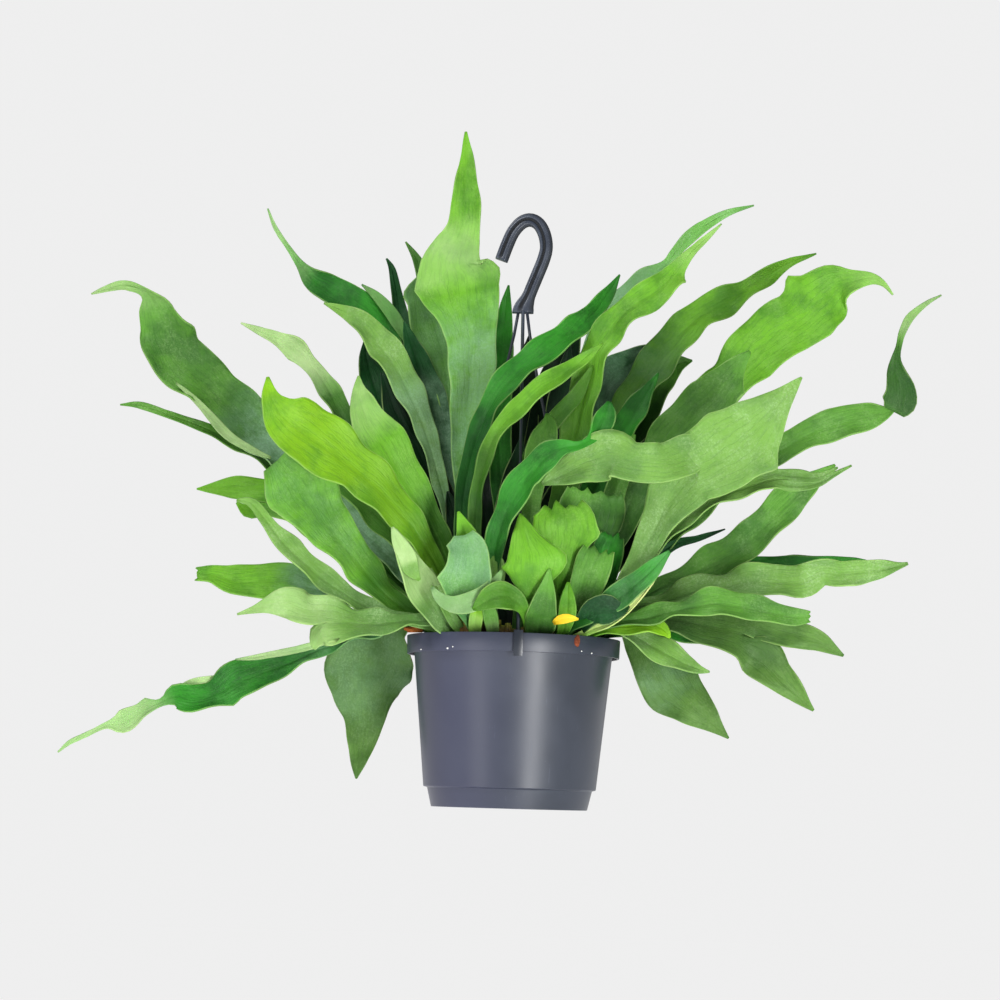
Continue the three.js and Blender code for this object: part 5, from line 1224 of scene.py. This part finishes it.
def makeClay(clay):
    bm = bmesh.new()
    low, high = clay["z"]
    at = onRim(clay["x"], (low + high) / 2)
    bmesh.ops.create_icosphere(bm, subdivisions=4, radius=1)
    face = Matrix.Rotation(math.atan2(at.x, -at.y), 4, "Z")
    for v in bm.verts:
        lump = 1 + clay["lump"] * noise.noise(v.co * 1.8)
        flat = Vector((v.co.x * clay["width"] / 2, v.co.y * clay["thickness"], v.co.z * (high - low) / 2))
        v.co = (at + face @ (flat * lump)) * mm
    return finishMesh("look_clay_crumb", bm)


def makeSpecks(specks):
    bm = bmesh.new()
    for x, z in specks["at"]:
        radius = specks["radius"] * random.uniform(*specks["share"])
        bmesh.ops.create_icosphere(bm, subdivisions=2, radius=radius * mm,
                                   matrix=Matrix.Translation(onRim(x, z, specks["sunk"]) * mm))
    return finishMesh("look_lime_specks", bm)


def makeRimBark(bark):
    # the first flake is the large one, the others lie about it
    bm = bmesh.new()
    for i in range(bark["pieces"]):
        size = Vector(bark["size"]) * (random.uniform(*bark["share"]) if i else 1)
        shift = Vector([random.uniform(*reach) for reach in bark["shift"]])
        at = Vector(bark["at"]) + (shift if i else Vector((0, 0, 0)))
        addChip(bm, at, size, (random.uniform(*bark["turn"]), bark["over"], random.uniform(*bark["tilt"])))
    bmesh.ops.recalc_face_normals(bm, faces=bm.faces)
    return finishMesh("look_rim_bark", bm, crease=35)


def limeFinish(colours):
    lime = Finish("lime specks", **{"Roughness": 0.8})
    lime.join("Base Color", lime.mix(lime.speckle(700, 2), *[srgb(*colour) for colour in colours]))
    return lime.material


declare(makeClay(crumbs["clay"]), barkFinish("clay", crumbs["clay"]["colours"]), "growing_medium")
declare(makeRimBark(crumbs["bark"]), barkFinish("rim bark", crumbs["bark"]["colours"]), "growing_medium")
declare(makeSpecks(crumbs["specks"]), limeFinish(crumbs["specks"]["colours"]), "pot")
print("crumbs")

view = {"lens": 99, "sensor": 36, "at": eye * mm, "pitch": 6.13, "roll": 1.65}
camera = bpy.data.objects.new("camera", bpy.data.cameras.new("camera"))
camera.data.lens, camera.data.sensor_width = view["lens"], view["sensor"]
camera.matrix_world = (Matrix.Translation(view["at"])
                       @ Matrix.Rotation(math.radians(90 + view["pitch"]), 4, "X")
                       @ Matrix.Rotation(math.radians(view["roll"]), 4, "Z"))
bpy.context.scene.collection.objects.link(camera)
bpy.context.scene.camera = camera
bpy.context.scene.view_settings.view_transform = "Standard"

studio = {
    # where each lamp hangs, its size and its power. All look at the aim.
    "key": {"at": (-1.2, -1.5, 2.1), "size": (1.0, 1.0), "power": 38},
    "strip": {"at": (1.1, -2.1, -0.5), "size": (0.36, 1.7), "power": 52},
    "sheen": {"at": (-1.5, -1.7, -0.4), "size": (0.8, 1.5), "power": 11},
    "back": {"at": (-0.6, 1.6, 1.6), "size": (1.4, 1.4), "power": 8},
    "aim": (0, 0, 0.2),
    "backdrop": (0.86, 0.86, 0.86, 1),
    "ambient": 0.34,  # share of the backdrop's brightness that lights the object
    "floorHeight": -1.6,
    "floorRadius": 30,
    "floorShade": 0.9,
}
for name in ("key", "strip", "sheen", "back"):
    lamp = bpy.data.lights.new(name, "AREA")
    lamp.shape, lamp.energy = "RECTANGLE", studio[name]["power"]
    lamp.size, lamp.size_y = studio[name]["size"]
    holder = bpy.data.objects.new(name, lamp)
    holder.location = studio[name]["at"]
    holder.visible_camera = False
    beam = Vector(studio["aim"]) - Vector(studio[name]["at"])
    holder.rotation_euler = beam.to_track_quat("-Z", "Y").to_euler()
    bpy.context.scene.collection.objects.link(holder)

world = bpy.data.worlds.new("studio")
world.use_nodes = True
background = world.node_tree.nodes["Background"]
background.inputs["Color"].default_value = studio["backdrop"]
seen = world.node_tree.nodes.new("ShaderNodeLightPath")
strength = world.node_tree.nodes.new("ShaderNodeMapRange")
strength.inputs["To Min"].default_value = studio["ambient"]
world.node_tree.links.new(seen.outputs["Is Camera Ray"], strength.inputs["Value"])
world.node_tree.links.new(strength.outputs["Result"], background.inputs["Strength"])
bpy.context.scene.world = world

bm = bmesh.new()
bmesh.ops.create_circle(bm, cap_ends=True, segments=96, radius=studio["floorRadius"])
bmesh.ops.translate(bm, verts=bm.verts, vec=(0, 0, studio["floorHeight"]))
floor = finishMesh("floor", bm)
shade = studio["floorShade"]
floorFinish = Finish("floor", **{
    "Base Color": (shade, shade, shade, 1), "Roughness": 1.0, "Specular IOR Level": 0.0,
    "Emission Color": studio["backdrop"], "Emission Strength": 1 - shade * studio["ambient"]})
floor.data.materials.append(floorFinish.material)
print("studio")
